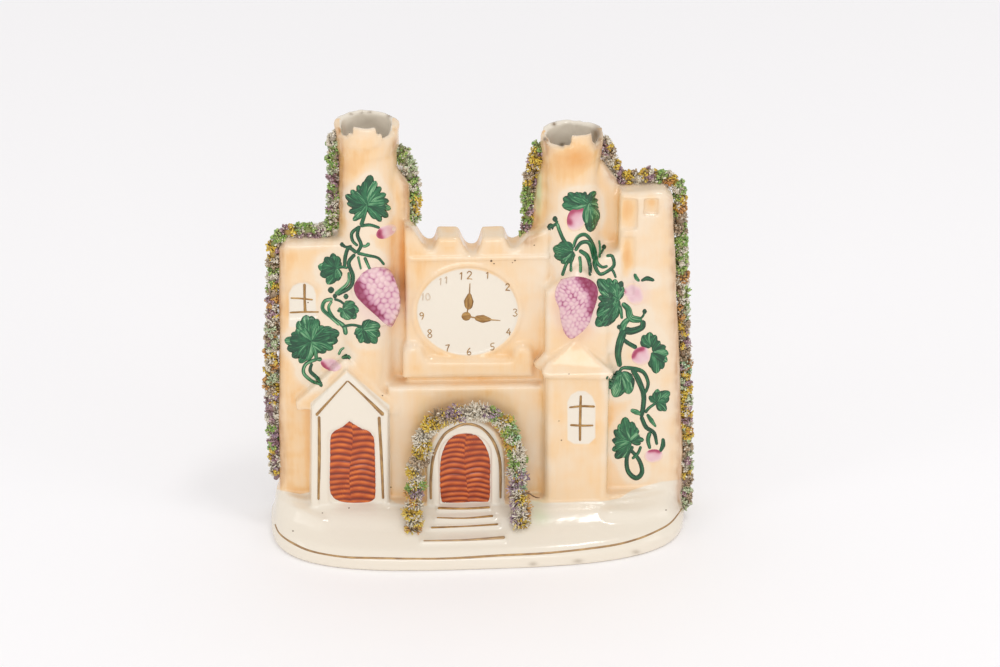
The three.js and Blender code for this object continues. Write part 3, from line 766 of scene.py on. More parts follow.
def cast(pixels):
    """The points of the glaze that show at places of the frame, and the directions that leave it there:
    the first point inside the body along each sight line, brought back to the surface by halving the last
    step."""
    way = sight(pixels)
    solid = body < 0
    hit = np.full(len(way), BACK)
    for y in np.arange(BACK, LOW[1], -STEP / 2):
        cell = np.round((at_depth(way, y) - LOW) / STEP).astype(int)
        cell = np.clip(cell, 0, np.array(body.shape) - 1)
        hit = np.where(solid[tuple(cell.T)], y, hit)
    near, far = hit - 1.3, hit + 0.5
    for _ in range(9):
        middle = (near + far) / 2
        inside = read(body, at_depth(way, middle)) < 0
        near, far = np.where(inside, near, middle), np.where(inside, middle, far)
    points = at_depth(way, near)
    return points, unit(slope_at(points))


def brushed(name, strokes, material, seed, full=1.0, seat=cast):
    """Pulls of the brush as closed ribbons. A stroke is its places, its half-width in pixels at even
    steps along it, times how full the brush is, and a tone; its ends are round, and its film is thickest
    in the middle. Each lies a little higher than the one before, five heights in turn."""
    draw = np.random.default_rng(seed)
    sides = len(ACROSS)
    places, brush, lifts, edges, faces, count = [], [], [], [], [], 0
    for n, (points, width, *tone) in enumerate(strokes):
        line = flowing(points, 0.8)
        ahead = unit(np.gradient(line, axis=0))
        side = np.stack([-ahead[:, 1], ahead[:, 0]], axis=1)
        run = np.arange(len(line)) * np.linalg.norm(line[1] - line[0])
        widths = np.atleast_1d(width)
        half = np.interp(np.linspace(0, 1, len(line)), np.linspace(0, 1, len(widths)), widths) * full
        near_end = np.minimum(run, run[-1] - run) / np.maximum(half, 0.1)
        half = half * np.sqrt(np.clip(1 - np.clip(1 - near_end, 0, 1) ** 2, 0.02, 1))
        spread = half[:, None] * ACROSS
        places.append((line[:, None] + spread[..., None] * side[:, None]).reshape(-1, 2))
        tones = np.full(spread.shape, tone[0] if tone else draw.uniform())
        along = np.tile(run[:, None], sides) * PIXEL
        brush.append(np.stack([spread * PIXEL + STREAK_SHIFT * n, along, tones], axis=-1).reshape(-1, 3))
        lifts.append(np.tile(FILM + OVERLAP * (n % 5), len(line)))
        at_end = np.repeat(1 - near_end.clip(0, 1), sides) ** 2
        edges.append(np.maximum(np.tile(np.abs(ACROSS), len(line)), at_end))
        faces += [tube(len(line), sides)[:, [0, 3, 2, 1]] + count, RIBBON_ENDS + count,
                  RIBBON_ENDS[:, ::-1] + count + sides * (len(line) - 1)]
        count += sides * len(line)
    places = np.concatenate(places)
    top, leaving = seat(places)
    points = top + leaving * np.concatenate(lifts)[:, None]
    made = add_piece(name, points, np.concatenate(faces), material)
    layer = made.data.attributes.new("brush", "FLOAT_VECTOR", "POINT")
    layer.data.foreach_set("vector", np.concatenate(brush).astype(np.float32).ravel())
    rim = made.data.attributes.new("rim", "FLOAT", "POINT")
    rim.data.foreach_set("value", np.concatenate(edges).astype(np.float32))
    return places


SLENDER = np.array([0.5, 0.9, 1.0, 1.0])


def leaf(stalk, tips, plump=0.2, fingers=((-0.3, 0.8), (0.3, 0.8), (0, 1))):
    """A leaf: from the end of its stalk a dab to each tip, and a shorter one turned to each side of it,
    each dab slender at the stalk and round at its tip."""
    sx, sy = stalk
    reaches = [(x - sx, y - sy) for x, y in tips]
    dabs = [([stalk, (sx + 0.8 * x, sy + 0.8 * y)], np.hypot(x, y) * plump * 1.35 * SLENDER)
            for x, y in reaches]
    for x, y in reaches:
        for turn, length in fingers:
            dx, dy = (x * cos(turn) - y * sin(turn)) * length, (x * sin(turn) + y * cos(turn)) * length
            half = plump * np.hypot(dx, dy)
            bow = 0.06 * (1 if turn > 0 else -1)
            middle = (sx + dx / 2 - dy * bow, sy + dy / 2 + dx * bow)
            widths = (half * 0.5, half * 0.9, half * 1.12, half * 0.62)
            dabs.append(([stalk, middle, (sx + dx, sy + dy)], widths))
    return dabs


def dot(x, y, radius, tone=-0.5):
    """A round touch of the brush, dark with enamel."""
    return ([(x - radius, y), (x, y), (x + radius, y)], radius, tone)


green, tree, shader = new_material("green enamel", Roughness=0.2, IOR=1.52)
brush = node(tree, "Attribute", {"attribute_name": "brush"})
combed = node(tree, "VectorMath", {"operation": "MULTIPLY"}, _0=brush.outputs["Vector"], _1=(2.2, 0.16, 5.0))
streaks = node(tree, "TexNoise", Vector=combed, Scale=1.0, Detail=2.0, Roughness=0.6)
rim = node(tree, "Attribute", {"attribute_name": "rim"})
tone = node(tree, "SeparateXYZ", Vector=brush.outputs["Vector"])
toned = node(tree, "Math", {"operation": "MULTIPLY_ADD"}, _0=tone.outputs["Z"], _1=0.26, _2=streaks)
thin = node(tree, "Math", {"operation": "MULTIPLY_ADD"}, _0=rim.outputs["Fac"], _1=-0.13, _2=toned)
light = node(tree, "MapRange", Value=thin, From_Min=0.46, From_Max=0.72)
bright = node(tree, "MapRange", Value=thin, From_Min=0.68, From_Max=0.86)
middle_green = node(tree, "Mix", {"data_type": "RGBA"}, _0=light, _6=linear("#17432d"), _7=linear("#2f7a4c"))
shade = node(tree, "Mix", {"data_type": "RGBA"}, _0=bright, _6=middle_green.outputs[2], _7=linear("#86b587"))
feed(shader, Base_Color=shade.outputs[2])

# Left vine, from the leaf on the tower down to the tendril beside the porch. Frame pixels.
ONE = ((0, 1),)
left_vine = [
    *leaf((367, 205), [
        (371, 175), (376, 181), (365, 181), (358, 185), (351, 190), (345.5, 195), (347, 203), (349, 212),
        (353, 220.5), (360, 215), (374, 216), (381, 221.5), (388, 217), (391, 209), (389, 201), (386, 194),
        (381, 187)], 0.14, ONE),
    ([(367, 203), (365, 213), (361, 226)], (1.4, 1.6, 1.8)),
    ([(360, 226), (370, 225), (380, 228)], (1.6, 1.5, 1.3)),
    ([(360, 226), (352, 233), (352.8, 241), (358, 246)], (1.3, 1.6, 1.5, 1.2)),
    ([(359.5, 226), (357.5, 235), (361, 245), (357, 253)], (1.4, 1.6, 1.6, 1.4)),
    ([(362, 246), (366, 246), (369.5, 243)], (1.2, 1.2, 1.8)),
    ([(357, 253), (349, 248), (345.5, 256), (344.5, 267)], (1.6, 1.6, 1.7, 1.4)),
    ([(342, 244.5), (346, 247), (352, 246)], (1.9, 1.2, 1.4)),
    ([(355, 254), (348.7, 263), (352.8, 276), (350, 287), (337, 295)], (1.6, 1.8, 1.9, 1.8, 1.6)),
    ([(348.7, 272), (347.8, 283), (335, 294)], (1.1, 1.5, 1.3)),
    ([(358, 256), (359.5, 263), (361, 269.5)], (1.2, 1.0, 0.9)),
    ([(364.5, 257), (367.5, 264), (370.5, 270.5)], (1.5, 1.3, 1.2)),
    ([(357, 253), (368, 255.5), (378, 258), (384.5, 265)], (1.6, 1.5, 1.3, 1.3)),
    *leaf((336, 268), [
        (333, 253), (325, 257), (318, 266), (320, 275), (327, 284), (338, 281), (340, 259)], 0.23),
    ([(336, 268), (342, 267), (348, 268)], (1.4, 1.3, 1.1)),
    dot(331, 290, 3.2), dot(335, 296, 2.3), dot(346, 296.5, 2.5, 0.3), dot(342, 244.5, 2.1),
    ([(333, 299), (325, 301), (322.8, 309), (331, 317), (340, 325)], (1.5, 1.6, 1.7, 1.6, 1.5)),
    ([(332, 301), (328.6, 308), (333.5, 318), (343.5, 326), (346, 335)], (1.2, 1.5, 1.8, 2.2, 2.2)),
    ([(334, 299), (340, 301), (345, 305)], (1.3, 1.2, 1.1)),
    *leaf((343, 309), [(355, 303), (359, 311), (356, 318.5), (347, 320), (337, 311)], 0.25),
    ([(342, 327), (352, 325), (363, 327)], (1.4, 1.2, 1.2)),
    *leaf((363, 329), [(371, 320), (380.5, 326), (380, 336), (376.5, 343.5), (360, 343), (354, 334)], 0.23),
    *leaf((311, 341), [(306, 315), (312, 316), (318, 319), (298, 321), (296, 329)], 0.19, ONE),
    *leaf((311, 341), [(306, 318), (297, 328), (318, 322)], 0.2),
    *leaf((311, 341), [(284.5, 340), (287, 349), (292, 357), (299.5, 363), (306, 356)], 0.17),
    *leaf((311, 341), [(325, 327), (332, 328), (339.5, 333), (338, 341), (333, 349), (326, 352)], 0.17),
    ([(312, 344), (315, 350), (316.5, 359)], (1.8, 1.7, 1.6)),
    ([(317, 359), (306, 364), (303.7, 373), (312, 381), (321, 384)], (1.5, 1.5, 1.5, 1.5, 1.4)),
    ([(312, 363), (310.3, 371), (317, 378), (322, 387)], (1.4, 1.8, 2.0, 1.5)),
    ([(316, 359), (322, 359.5)], (1.3, 2.3)),
    ([(338.5, 355), (341, 350), (344.5, 347.5)], (1.2, 1.2, 0.9)),
    ([(341.5, 358), (347, 356.5), (351, 359)], (1.2, 2.3, 1.1)),
]
right_vine = [
    *leaf((586, 204), [
        (562, 205), (563, 198), (568, 193), (576, 192), (585, 191.5), (596, 191.5), (598, 200)], 0.17, ONE),
    *leaf((589, 206), [(598.5, 208), (598.5, 216), (596, 224), (590, 232)], 0.2, ONE),
    *leaf((588, 203), [(566, 202), (572, 195), (581, 193), (592, 193), (598, 205), (593, 228)], 0.18),
    dot(550.5, 227, 3.4), dot(555, 219, 2.6),
    ([(550, 227), (556, 224), (557, 220)], (1.2, 1.4, 1.2)),
    ([(557, 223), (560, 232), (565, 242), (573, 249)], (1.5, 1.6, 1.7, 1.6)),
    *leaf((573, 251), [(561, 243), (553, 248), (554, 256), (561, 263)], 0.24),
    ([(575, 254), (567, 263), (562, 276)], (1.5, 1.4, 1.6)),
    ([(573, 256), (571, 264), (571, 272)], (1.2, 1.1, 1.4)),
    ([(579.5, 256), (580.5, 264), (580.5, 273)], (1.4, 1.3, 1.4)),
    ([(579, 250), (587, 256), (590, 266), (590, 276)], (1.6, 2.0, 1.8, 1.3)),
    ([(573, 248), (577, 238), (584, 234.5), (590, 239), (595, 250), (597, 262), (602, 267), (608, 266)],
     (1.5, 1.6, 1.8, 1.7, 1.7, 1.6, 1.5, 1.3)),
    ([(575, 251), (581, 243), (589, 243), (593, 254), (595, 266), (600, 274), (608, 271), (614, 265),
      (612, 256), (606, 256)], (1.5, 1.7, 1.8, 1.8, 1.8, 1.7, 1.5, 1.6, 1.5, 1.3)),
    ([(609, 268), (613, 271), (616, 278)], (1.2, 1.2, 1.0)),
    ([(599, 240), (600, 248), (599.5, 258)], (0.9, 1.1, 1.1)), dot(604, 247, 2.3),
    ([(601, 254), (603.5, 248)], 1.0),
    *leaf((618, 300), [
        (598, 279), (602, 279), (608, 278), (615, 279), (622, 281), (624, 289), (599, 288), (598, 297)],
          0.15, ONE),
    *leaf((617, 298), [(598, 306), (597, 316), (596, 326), (603, 326), (609, 320), (613, 312)], 0.17, ONE),
    *leaf((618, 299), [(602, 283), (616, 282), (600, 322), (608, 316)], 0.18),
    ([(634.5, 273.5), (636, 277.5), (639.5, 281.5)], (1.6, 1.9, 1.2)),
    ([(641, 281), (647, 278.5), (654.5, 280.5)], (1.0, 2.2, 1.2)),
    ([(615, 303), (620, 307), (622, 319)], (1.3, 1.6, 1.2)),
    ([(622, 303), (628, 309), (631, 318), (642, 320)], (2.0, 2.8, 3.2, 2.4)),
    ([(643, 320), (642, 327), (632, 331), (624, 330)], (2.2, 2.6, 3.0, 3.4)),
    ([(630, 318), (624, 324), (622, 334)], (2.2, 3.2, 3.0)),
    ([(640, 319), (643, 316), (644.6, 312)], 1.0), dot(644.6, 311.5, 2.3), dot(619, 327, 2.2),
    ([(624, 330), (620, 342), (618, 354), (620, 367)], (3.2, 3.3, 2.8, 2.0)),
    ([(620, 337), (628, 343), (637, 348)], (2.2, 2.0, 2.2)),
    *leaf((651, 347), [(640.5, 341), (643, 335), (650, 332), (656, 335), (657, 342)], 0.24, ONE),
    *leaf((653, 352), [
        (660, 341), (666, 346.5), (668.5, 354), (667, 362), (662.5, 369), (656, 373.5)], 0.2, ONE),
    ([(606.5, 379.5), (608, 376)], (1.1, 0.8)),
    *leaf((622, 372), [(614, 376), (614, 386), (614, 397), (623, 388), (629, 394), (632, 385)], 0.22),
    ([(619, 372), (623, 368), (632, 368.5), (643, 372), (648, 382), (646, 391), (641, 396)],
     (1.2, 1.6, 2.0, 1.7, 1.5, 1.4, 1.1)),
    ([(632, 369), (638, 379), (643.5, 394), (643, 408), (641, 417)], (2.0, 2.5, 2.2, 2.1, 1.9)),
    *leaf((657, 402), [(649, 396), (658, 389), (670, 392), (668, 400), (666, 411)], 0.22),
    ([(645, 413), (649, 408), (656, 403)], (1.6, 1.4, 1.3)),
    ([(630.5, 410), (636, 412), (642, 414.5)], (1.6, 2.4, 1.2)),
    *leaf((630, 441), [
        (625, 417), (633, 422), (639, 430), (644, 440), (619, 424), (614, 430), (612, 440), (612, 450),
        (615, 458), (622, 452)], 0.17),
    ([(641, 416), (646, 427), (654, 433), (657, 445)], (1.8, 1.9, 1.7, 1.2)),
    ([(647, 414), (651, 420), (656, 427)], (1.2, 2.0, 0.9)),
    ([(650, 432), (648, 440), (650, 449)], (1.8, 1.8, 1.3)),
    ([(663, 438), (663, 445), (660, 452)], (1.5, 2.3, 1.3)),
    ([(633, 446), (627, 457), (628, 471), (636, 478), (642, 472), (639, 460), (630, 449)],
     (1.5, 1.8, 2.0, 2.2, 2.0, 1.8, 1.5)),
    ([(641, 446), (638, 453), (632, 459)], (1.2, 1.4, 1.2)),
]
painted_leaves = np.concatenate([brushed("vine_left", left_vine, green, 21, 1.18),
                                 brushed("vine_right", right_vine, green, 22, 1.18)])

# Gilding: liquid gold brushed on last and fired once more, now worn thin and brown. It draws the lines of
# the porch, the doorway, the steps and the base, the window bars, and the hands and numbers of the dial.
gilding, tree, shader = new_material("worn gilding", Metallic=0.35, Roughness=0.34)
brush = node(tree, "Attribute", {"attribute_name": "brush"})
combed = node(tree, "VectorMath", {"operation": "MULTIPLY"}, _0=brush.outputs["Vector"], _1=(0.9, 0.22, 1.0))
streaks = node(tree, "TexNoise", Vector=combed, Scale=1.0, Detail=3.0)
rubbed = node(tree, "MapRange", Value=streaks, From_Min=0.35, From_Max=0.75)
gold = node(tree, "Mix", {"data_type": "RGBA"}, _0=rubbed, _6=linear("#8a6234"), _7=linear("#c79d5c"))
tone = node(tree, "SeparateXYZ", Vector=brush.outputs["Vector"])
faded = node(tree, "Mix", {"data_type": "RGBA"}, _0=tone.outputs["Z"], _6=gold.outputs[2],
             _7=linear("#e6d8c4"))
feed(shader, Base_Color=faded.outputs[2])

NUMERALS = {
    "0": [[(0.5, 0), (0.1, 0.5), (0.2, 1.2), (0.6, 1.4), (0.9, 0.8), (0.5, 0)]],
    "1": [[(0.2, 0.4), (0.45, 0.2), (0.6, 0)], [(0.6, 0), (0.55, 0.7), (0.5, 1.4)]],
    "2": [[(0.1, 0.35), (0.45, 0), (0.85, 0.35), (0.1, 1.3)], [(0.1, 1.3), (0.6, 1.25), (1, 1.35)]],
    "3": [[(0.1, 0.2), (0.5, 0), (0.85, 0.3), (0.45, 0.65)],
          [(0.45, 0.65), (0.9, 1.0), (0.5, 1.4), (0.1, 1.2)]],
    "4": [[(0.7, 0), (0.4, 0.5), (0.05, 0.9)], [(0.05, 0.9), (0.5, 0.9), (1, 0.8)],
          [(0.75, 0.4), (0.7, 1.4)]],
    "5": [[(0.25, 0.05), (0.6, 0), (0.95, 0)],
          [(0.25, 0.05), (0.25, 0.6), (0.8, 0.7), (0.7, 1.25), (0.1, 1.3)]],
    "6": [[(0.75, 0), (0.3, 0.5), (0.15, 1.1), (0.5, 1.4), (0.85, 1.1), (0.6, 0.75), (0.2, 0.95)]],
    "7": [[(0.1, 0.15), (0.5, 0.1), (0.95, 0)], [(0.95, 0), (0.6, 0.7), (0.45, 1.4)]],
    "8": [[(0.8, 0.3), (0.45, 0), (0.15, 0.35), (0.8, 1.0), (0.5, 1.4), (0.15, 1.05), (0.8, 0.3)]],
    "9": [[(0.8, 0.45), (0.4, 0.65), (0.15, 0.3), (0.5, 0), (0.85, 0.35), (0.75, 0.9), (0.5, 1.4)]],
}
NUMERAL_WIDTH = 5.2


def numeral(digit, x, y, tone=0.05, size=1.0):
    """The strokes of one digit, its middle at a place of the frame."""
    wide = NUMERAL_WIDTH * size
    return [([(x + (u - 0.5) * wide, y + (v - 0.7) * wide) for u, v in line], 0.55, tone)
            for line in NUMERALS[digit]]


DIGITS = [
    ("1", 461.3, 276, 0.05, 1.1), ("2", 469.3, 275.5, 0.05, 1.15), ("1", 487.5, 275.3), ("2", 507.5, 287.3),
    ("3", 515, 312.6), ("4", 508.5, 331.8), ("5", 492.3, 346.8), ("6", 469, 351.4), ("7", 447.3, 348.2),
    ("8", 430, 333.6, 0.05, 1.15), ("9", 421.7, 316.2), ("1", 422.8, 297, 0.75), ("0", 428, 296.5, 0.8),
    ("1", 440.5, 281.5, 0.6), ("1", 446.2, 280, 0.5),
]
dial = [
    dot(466.3, 316.3, 4.8, 0.0), ([(467, 314), (468.3, 306)], 0.7, 0.0),
    ([(468.6, 309.5), (468.8, 301), (469.7, 293)], (3.4, 4.9, 1.3), 0.0),
    ([(469.4, 295), (470, 283)], (0.8, 0.45), 0.1),
    ([(469, 316.5), (475, 317.8)], 0.7, 0.0),
    ([(474.5, 317.8), (482, 318.8), (491.5, 319.8)], (2.4, 4.5, 1.4), 0.0),
    ([(489, 319.6), (500.5, 320.6)], (0.9, 0.45), 0.1),
    *(stroke for digit in DIGITS for stroke in numeral(*digit)),
]
lines = [
    ([(347.6, 380.8), (332, 398), (316, 415.6)], (0.8, 1.1, 1.7), 0.05),
    ([(347.6, 380.8), (366, 398), (383.6, 415.4)], (0.8, 1.3, 2.1), 0.05),
    ([(319, 416), (319.3, 455), (318.5, 500)], (1.5, 1.6, 1.2), 0.05),
    ([(379, 416.5), (381.3, 455), (383.1, 499)], (1.6, 1.5, 1.3), 0.05),
    ([(430.9, 499.5), (430.9, 478), (434, 455), (443.3, 436), (455, 427.5), (467, 424), (480, 427.2),
      (490.5, 437), (497, 450), (500.2, 466), (500.5, 498.5)],
     (1.2, 1.4, 1.5, 1.5, 1.3, 1.4, 1.3, 1.5, 1.5, 1.4, 1.1), 0.1),
    ([(437.5, 508), (465, 508.6), (490, 507.2)], (1.4, 1.1, 1.3), 0.0),
    ([(436.7, 517.6), (465, 518.2), (493.3, 515.8)], (0.7, 0.8, 1.2), 0.0),
    ([(430.8, 527.6), (465, 526.4), (498.3, 524.2)], (1.0, 0.7, 1.0), 0.0),
    ([(423.3, 540.8), (465, 540), (505, 537.4)], (0.7, 0.9, 1.6), 0.2),
    ([(304.5, 283.6), (304.6, 298), (305.2, 312.5)], (1.4, 1.2, 1.5), 0.0),
    ([(290.3, 298), (302, 298.6), (313, 299.8)], (0.9, 1, 1), 0.0),
    ([(289.5, 312.6), (304, 312), (319, 312)], (1.0, 1.0, 0.8), 0.0),
    ([(580.8, 395.2), (580.2, 418), (580, 441)], (1.2, 1.4, 1.2), 0.0),
    ([(569, 407.5), (582, 406.2), (595, 406.6)], (0.9, 1.1, 1.2), 0.0),
    ([(570, 425), (582, 425.6), (593.4, 425.4)], (1.1, 1.1, 0.9), 0.0),
    ([(274.8, 524.1), (279.4, 533.3), (290.6, 541.9), (311, 551.1), (341.6, 556.7), (372.2, 558),
      (440.8, 558.6), (502, 555.3), (550, 552.8), (607.4, 546.1), (636.1, 539.4), (655.3, 531.7),
      (669.6, 523.6), (678.2, 514), (682.5, 507.3)],
     (0.7, 1.2, 1.0, 1.2, 1.1, 1.0, 1.1, 1.3, 1.2, 1.2, 1.1, 1.2, 1.1, 1.0, 0.7), 0.1),
]
brushed("dial_gilding", dial, gilding, 24)
brushed("gilt_lines", lines, gilding, 25)


# Iron specks: grains of iron in the clay that burnt brown in the kiln and came up through the glaze. Each
# is a small round touch on the glaze.
iron, tree, shader = new_material("iron speck", Roughness=0.4)
grain = node(tree, "TexNoise", Scale=900.0)
burnt = node(tree, "Mix", {"data_type": "RGBA"}, _0=grain, _6=linear("#3d2f26"), _7=linear("#8a6a4b"))
feed(shader, Base_Color=burnt.outputs[2])
SPECKS = [
    (491.3, 261, 1.2), (494, 263.6, 0.8), (515, 260.5, 0.9), (512.5, 262.5, 0.6), (293, 531, 0.8),
    (666, 510, 0.8), (322.4, 513, 0.7), (349, 508, 0.8), (308, 302.5, 0.7), (382.5, 395.5, 0.7),
    (569, 374, 0.7), (559, 421, 0.6),
]
brushed("iron_specks", [dot(*speck) for speck in SPECKS], iron, 26)


# The doors and the grapes are thick enamel laid over the moulded form and worked while wet: the doors in
# two rows of combed arcs, the grapes in small round berries.
PLATE_SPACING, PLATE_DEPTH, RIM_DEPTH, BANK_RINGS = 0.9, 0.4, 0.05, 2.2


def plate(name, edge, seat, relief, colour, material):
    """A closed plate: rings that shrink from its outline to its middle, the top lifted by relief and the
    underside sunk. seat gives the points and directions of the form below, relief the lift in mm, colour
    the enamel."""
    border = flowing([*edge, edge[0]], PLATE_SPACING)[:-1]
    border = border[:len(border) // 2 * 2]
    count = len(border)
    middle = border.mean(axis=0)
    rings = int(np.linalg.norm(border - middle, axis=1).mean() / PLATE_SPACING) + 1
    share = np.linspace(1, 0, rings + 1)[:-1]
    places = np.vstack([(middle + share[:, None, None] * (border - middle)).reshape(-1, 2), middle[None]])
    rim = np.append(np.repeat(share, count), 0)
    base, leaving = seat(places)
    bank = np.clip((1 - rim) * rings / BANK_RINGS, 0, 1) ** 0.5
    lift = relief(places) * bank - RIM_DEPTH * (rim > 0.999)
    top = base + leaving * lift[:, None]
    below = [*range(count), -1]
    under = base[below] - leaving[below] * PLATE_DEPTH
    pairs = np.arange(0, count, 2)
    last = (rings - 1) * count
    pole = np.stack([last + pairs, last + pairs + 1, last + (pairs + 2) % count,
                     np.full(len(pairs), rings * count)], axis=1)
    floor = rings * count + 1
    k = np.arange(count)
    side = np.stack([k, floor + k, floor + (k + 1) % count, (k + 1) % count], axis=1)
    bottom = np.stack([floor + (pairs + 2) % count, floor + pairs + 1, floor + pairs,
                       np.full(len(pairs), floor + count)], axis=1)
    faces = np.vstack([tube(rings, count), pole, side, bottom])
    made = add_piece(name, np.vstack([top, under]), faces, material)
    shades = colour(places)
    add_colours(made, "enamel", np.vstack([shades, shades[below]]))


def on_wall(y):
    """A seat on an upright wall at one depth."""
    return lambda places: (at_depth(sight(places), y), np.tile([0.0, -1.0, 0.0], (len(places), 1)))


door_enamel, tree, shader = new_material("iron red enamel", Roughness=0.22, IOR=1.52)
coloured = node(tree, "Attribute", {"attribute_name": "enamel"})
feed(shader, Base_Color=coloured)
berry_enamel = door_enamel.copy()
berry_enamel.name = "rose enamel"
DOOR_SHADES = [linear(c) for c in ("#6c2716", "#a83f16", "#de742a")]


def blended(amount, shades):
    """Colours mixed along a row of shades, amount from 0 to 1."""
    place = np.clip(amount, 0, 0.999) * (len(shades) - 1)
    first = place.astype(int)
    rows = np.array(shades)
    part = (place - first)[:, None]
    return rows[first] * (1 - part) + rows[first + 1] * part


def combing(middle, top, pitch, seed):
    """The combed arcs of a door: in each of two columns the bands bow upwards, a little unevenly; gives
    how far a place is through its band, from 0 to 1."""
    a, b, c = np.random.default_rng(seed).uniform(0, 2 * pi, 3)

    def phase(places):
        x, y = places.T
        right = x > middle + 1.6 * np.sin(y / 13 + a)
        centre = np.where(right, middle + 11, middle - 9)
        bow = 1.5 * ((x - centre) / 11) ** 2
        uneven = 0.55 * np.sin(x / 5.5 + y / 13 + b) + 1.0 * np.sin(y / 8.3 + c + 2 * right)
        return ((y - top - bow + uneven + 2.4 * right) / pitch) % 1
    return phase


def door(name, edge, depth, middle, top, pitch, seed):
    """A door on an upright wall at one depth: each combed band rises quickly and falls slowly, as half a
    sine, and its colour has painted shade, dark, in the groove and a painted highlight, bright, on the crest."""
    phase = combing(middle, top, pitch, seed)
    wave = np.random.default_rng(seed + 1).uniform(0, 2 * pi, 4)

    def relief(places):
        through = phase(places)
        return 0.16 + 0.34 * np.sin(pi * np.clip((through - 0.12) / 0.88, 0, 1)) ** 0.7

    def colour(places):
        through = phase(places)
        x, y = places.T
        cloud = (0.5 + 0.25 * np.sin(x / 5.1 + wave[0]) * np.sin(y / 8.7 + wave[1])
                 + 0.2 * np.sin(x / 2.3 + y / 3.9 + wave[2]))
        # Painted shade in the groove of each band and a painted highlight along its crest.
        groove_shade_crest_light = np.interp(through, [0, 0.14, 0.34, 0.62, 0.86, 1], [0.0, 0.15, 0.9, 0.66, 0.3, 0.0])
        return blended(groove_shade_crest_light * (0.75 + 0.5 * cloud), DOOR_SHADES)
    plate(name, edge, on_wall(depth), relief, colour, door_enamel)


PORCH_EDGE = [
    (349.3, 419.9), (355, 424), (361.4, 427.4), (370, 431.6), (374.2, 438.6), (375, 450), (375.6, 470),
    (375.6, 494), (372.9, 500.6), (364.3, 503.2), (352.9, 503.5), (338.6, 501), (332.1, 496), (329.6, 487),
    (329.9, 456), (330.2, 439), (333, 431.8), (340, 427.4), (345.7, 422.6),
]
ARCH_EDGE = [
    (465, 431.4), (476.7, 435.2), (485, 445), (490, 458.3), (490.8, 470), (490.3, 480), (490.6, 491.7),
    (489, 501), (484, 504.2), (462, 504.4), (445, 504.2), (440.9, 498.3), (439.5, 483), (440.2, 461.7),
    (445.2, 445), (453.5, 435.2),
]
door("porch_door", PORCH_EDGE, -17.1, 351, 420, 5.7, 31)
door("arch_door", ARCH_EDGE, -19.5, 466, 431, 5.3, 32)


def grapes(name, edge, pitch, crimson_at, reach, seed):
    """Berries on a slanted grid: each a dome that falls to a groove where it meets the next, pale in its
    middle and darker at its edge, with crimson drawn down one side of the bunch."""
    a, b, c = np.random.default_rng(seed).uniform(0, 2 * pi, 3)
    rows = pitch * 0.84

    def berry(places):
        x, y = places.T
        x, y = (x + 1.5 * np.sin(y / 5.3 + a) + 0.7 * np.sin(y / 2.6 + x / 4.1 + c),
                y + 1.4 * np.sin(x / 5.9 + b) + 0.6 * np.sin(x / 2.9 - y / 5 + a))
        row = np.round(y / rows)
        gap = []
        for near in (row - 1, row, row + 1):
            shift = pitch / 2 * (near % 2)
            gap.append(np.hypot((x - shift) - np.round((x - shift) / pitch) * pitch, y - near * rows))
        return np.clip(np.min(gap, axis=0) / (pitch * 0.56), 0, 1)

    def relief(places):
        return 0.12 + 0.6 * np.sqrt(1 - 0.9 * berry(places) ** 2)

    def colour(places):
        x, y = places.T
        cloud = 0.5 + 0.28 * np.sin(x / 6.5 + a) * np.sin(y / 8 + c) + 0.16 * np.sin(x / 2.9 - y / 3.7 + b)
        strong = np.exp(-(outline(crimson_at, x, y).clip(0) / reach) ** 2)
        uneven = 0.75 + 0.6 * np.sin(x / 3.1 + c) * np.sin(y / 2.3 + a)
        rim = berry(places) ** 3 * (0.3 + 1.3 * cloud) * uneven
        amount = 0.62 * rim + 0.16 * cloud + 0.8 * strong
        return blended(amount, [linear(k) for k in ("#e6c6c4", "#cf9bac", "#b06484", "#8c2a4e")])
    plate(name, edge, cast, relief, colour, berry_enamel)


grapes("grapes_left", [
    (362, 273), (370, 268.5), (381, 267), (390, 270), (396, 282), (400.3, 297), (400, 310), (396, 320),
    (391.5, 327), (385, 324), (378.5, 318), (370, 310.5), (362, 303), (355.5, 295), (354, 285)],
    6.4, [(352, 282), (356, 297), (366, 307), (378, 318), (364, 300), (357, 284)], 5.5, 41)
grapes("grapes_right", [
    (561, 279), (573, 276.5), (585, 277.5), (594, 282), (598, 290), (597, 300), (593, 312), (589, 324),
    (581, 333), (571, 339), (564, 332), (560.5, 319), (559, 308), (555, 298), (556, 288)],
    5.0, [(580, 278), (594, 283), (598, 300), (592, 311), (592, 292)], 4.6, 42)


# A firing crack runs through the wreath beside the right foot of the doorway, and on over the wall next
# to it: a thin brown line, drawn as one stroke on the wreath's front and one on the wall.
WREATH_FRONT = -29.2
crack = ([(507.5, 497.6), (513, 496), (518, 497.2), (522.5, 494.4), (528, 493.4), (532, 495)],
         (0.5, 0.8, 0.7, 1.0, 1.0, 0.6))
brushed("crack_in_wreath", [crack], iron, 27, seat=on_wall(WREATH_FRONT))
brushed("crack_in_wall", [([(531, 495), (536, 497.4), (540, 498)], (0.7, 0.6, 0.4))], iron, 28)


# The buds of the vine: a touch of rose enamel each, wet beside a pull of crimson, so that one runs into
# the other. Away from the crimson the rose thins out to the ground colour.
BUD_SHADES = [linear(c) for c in ("#ecd0b4", "#e2c0c4", "#d59caa", "#b24d6b", "#8f2244")]


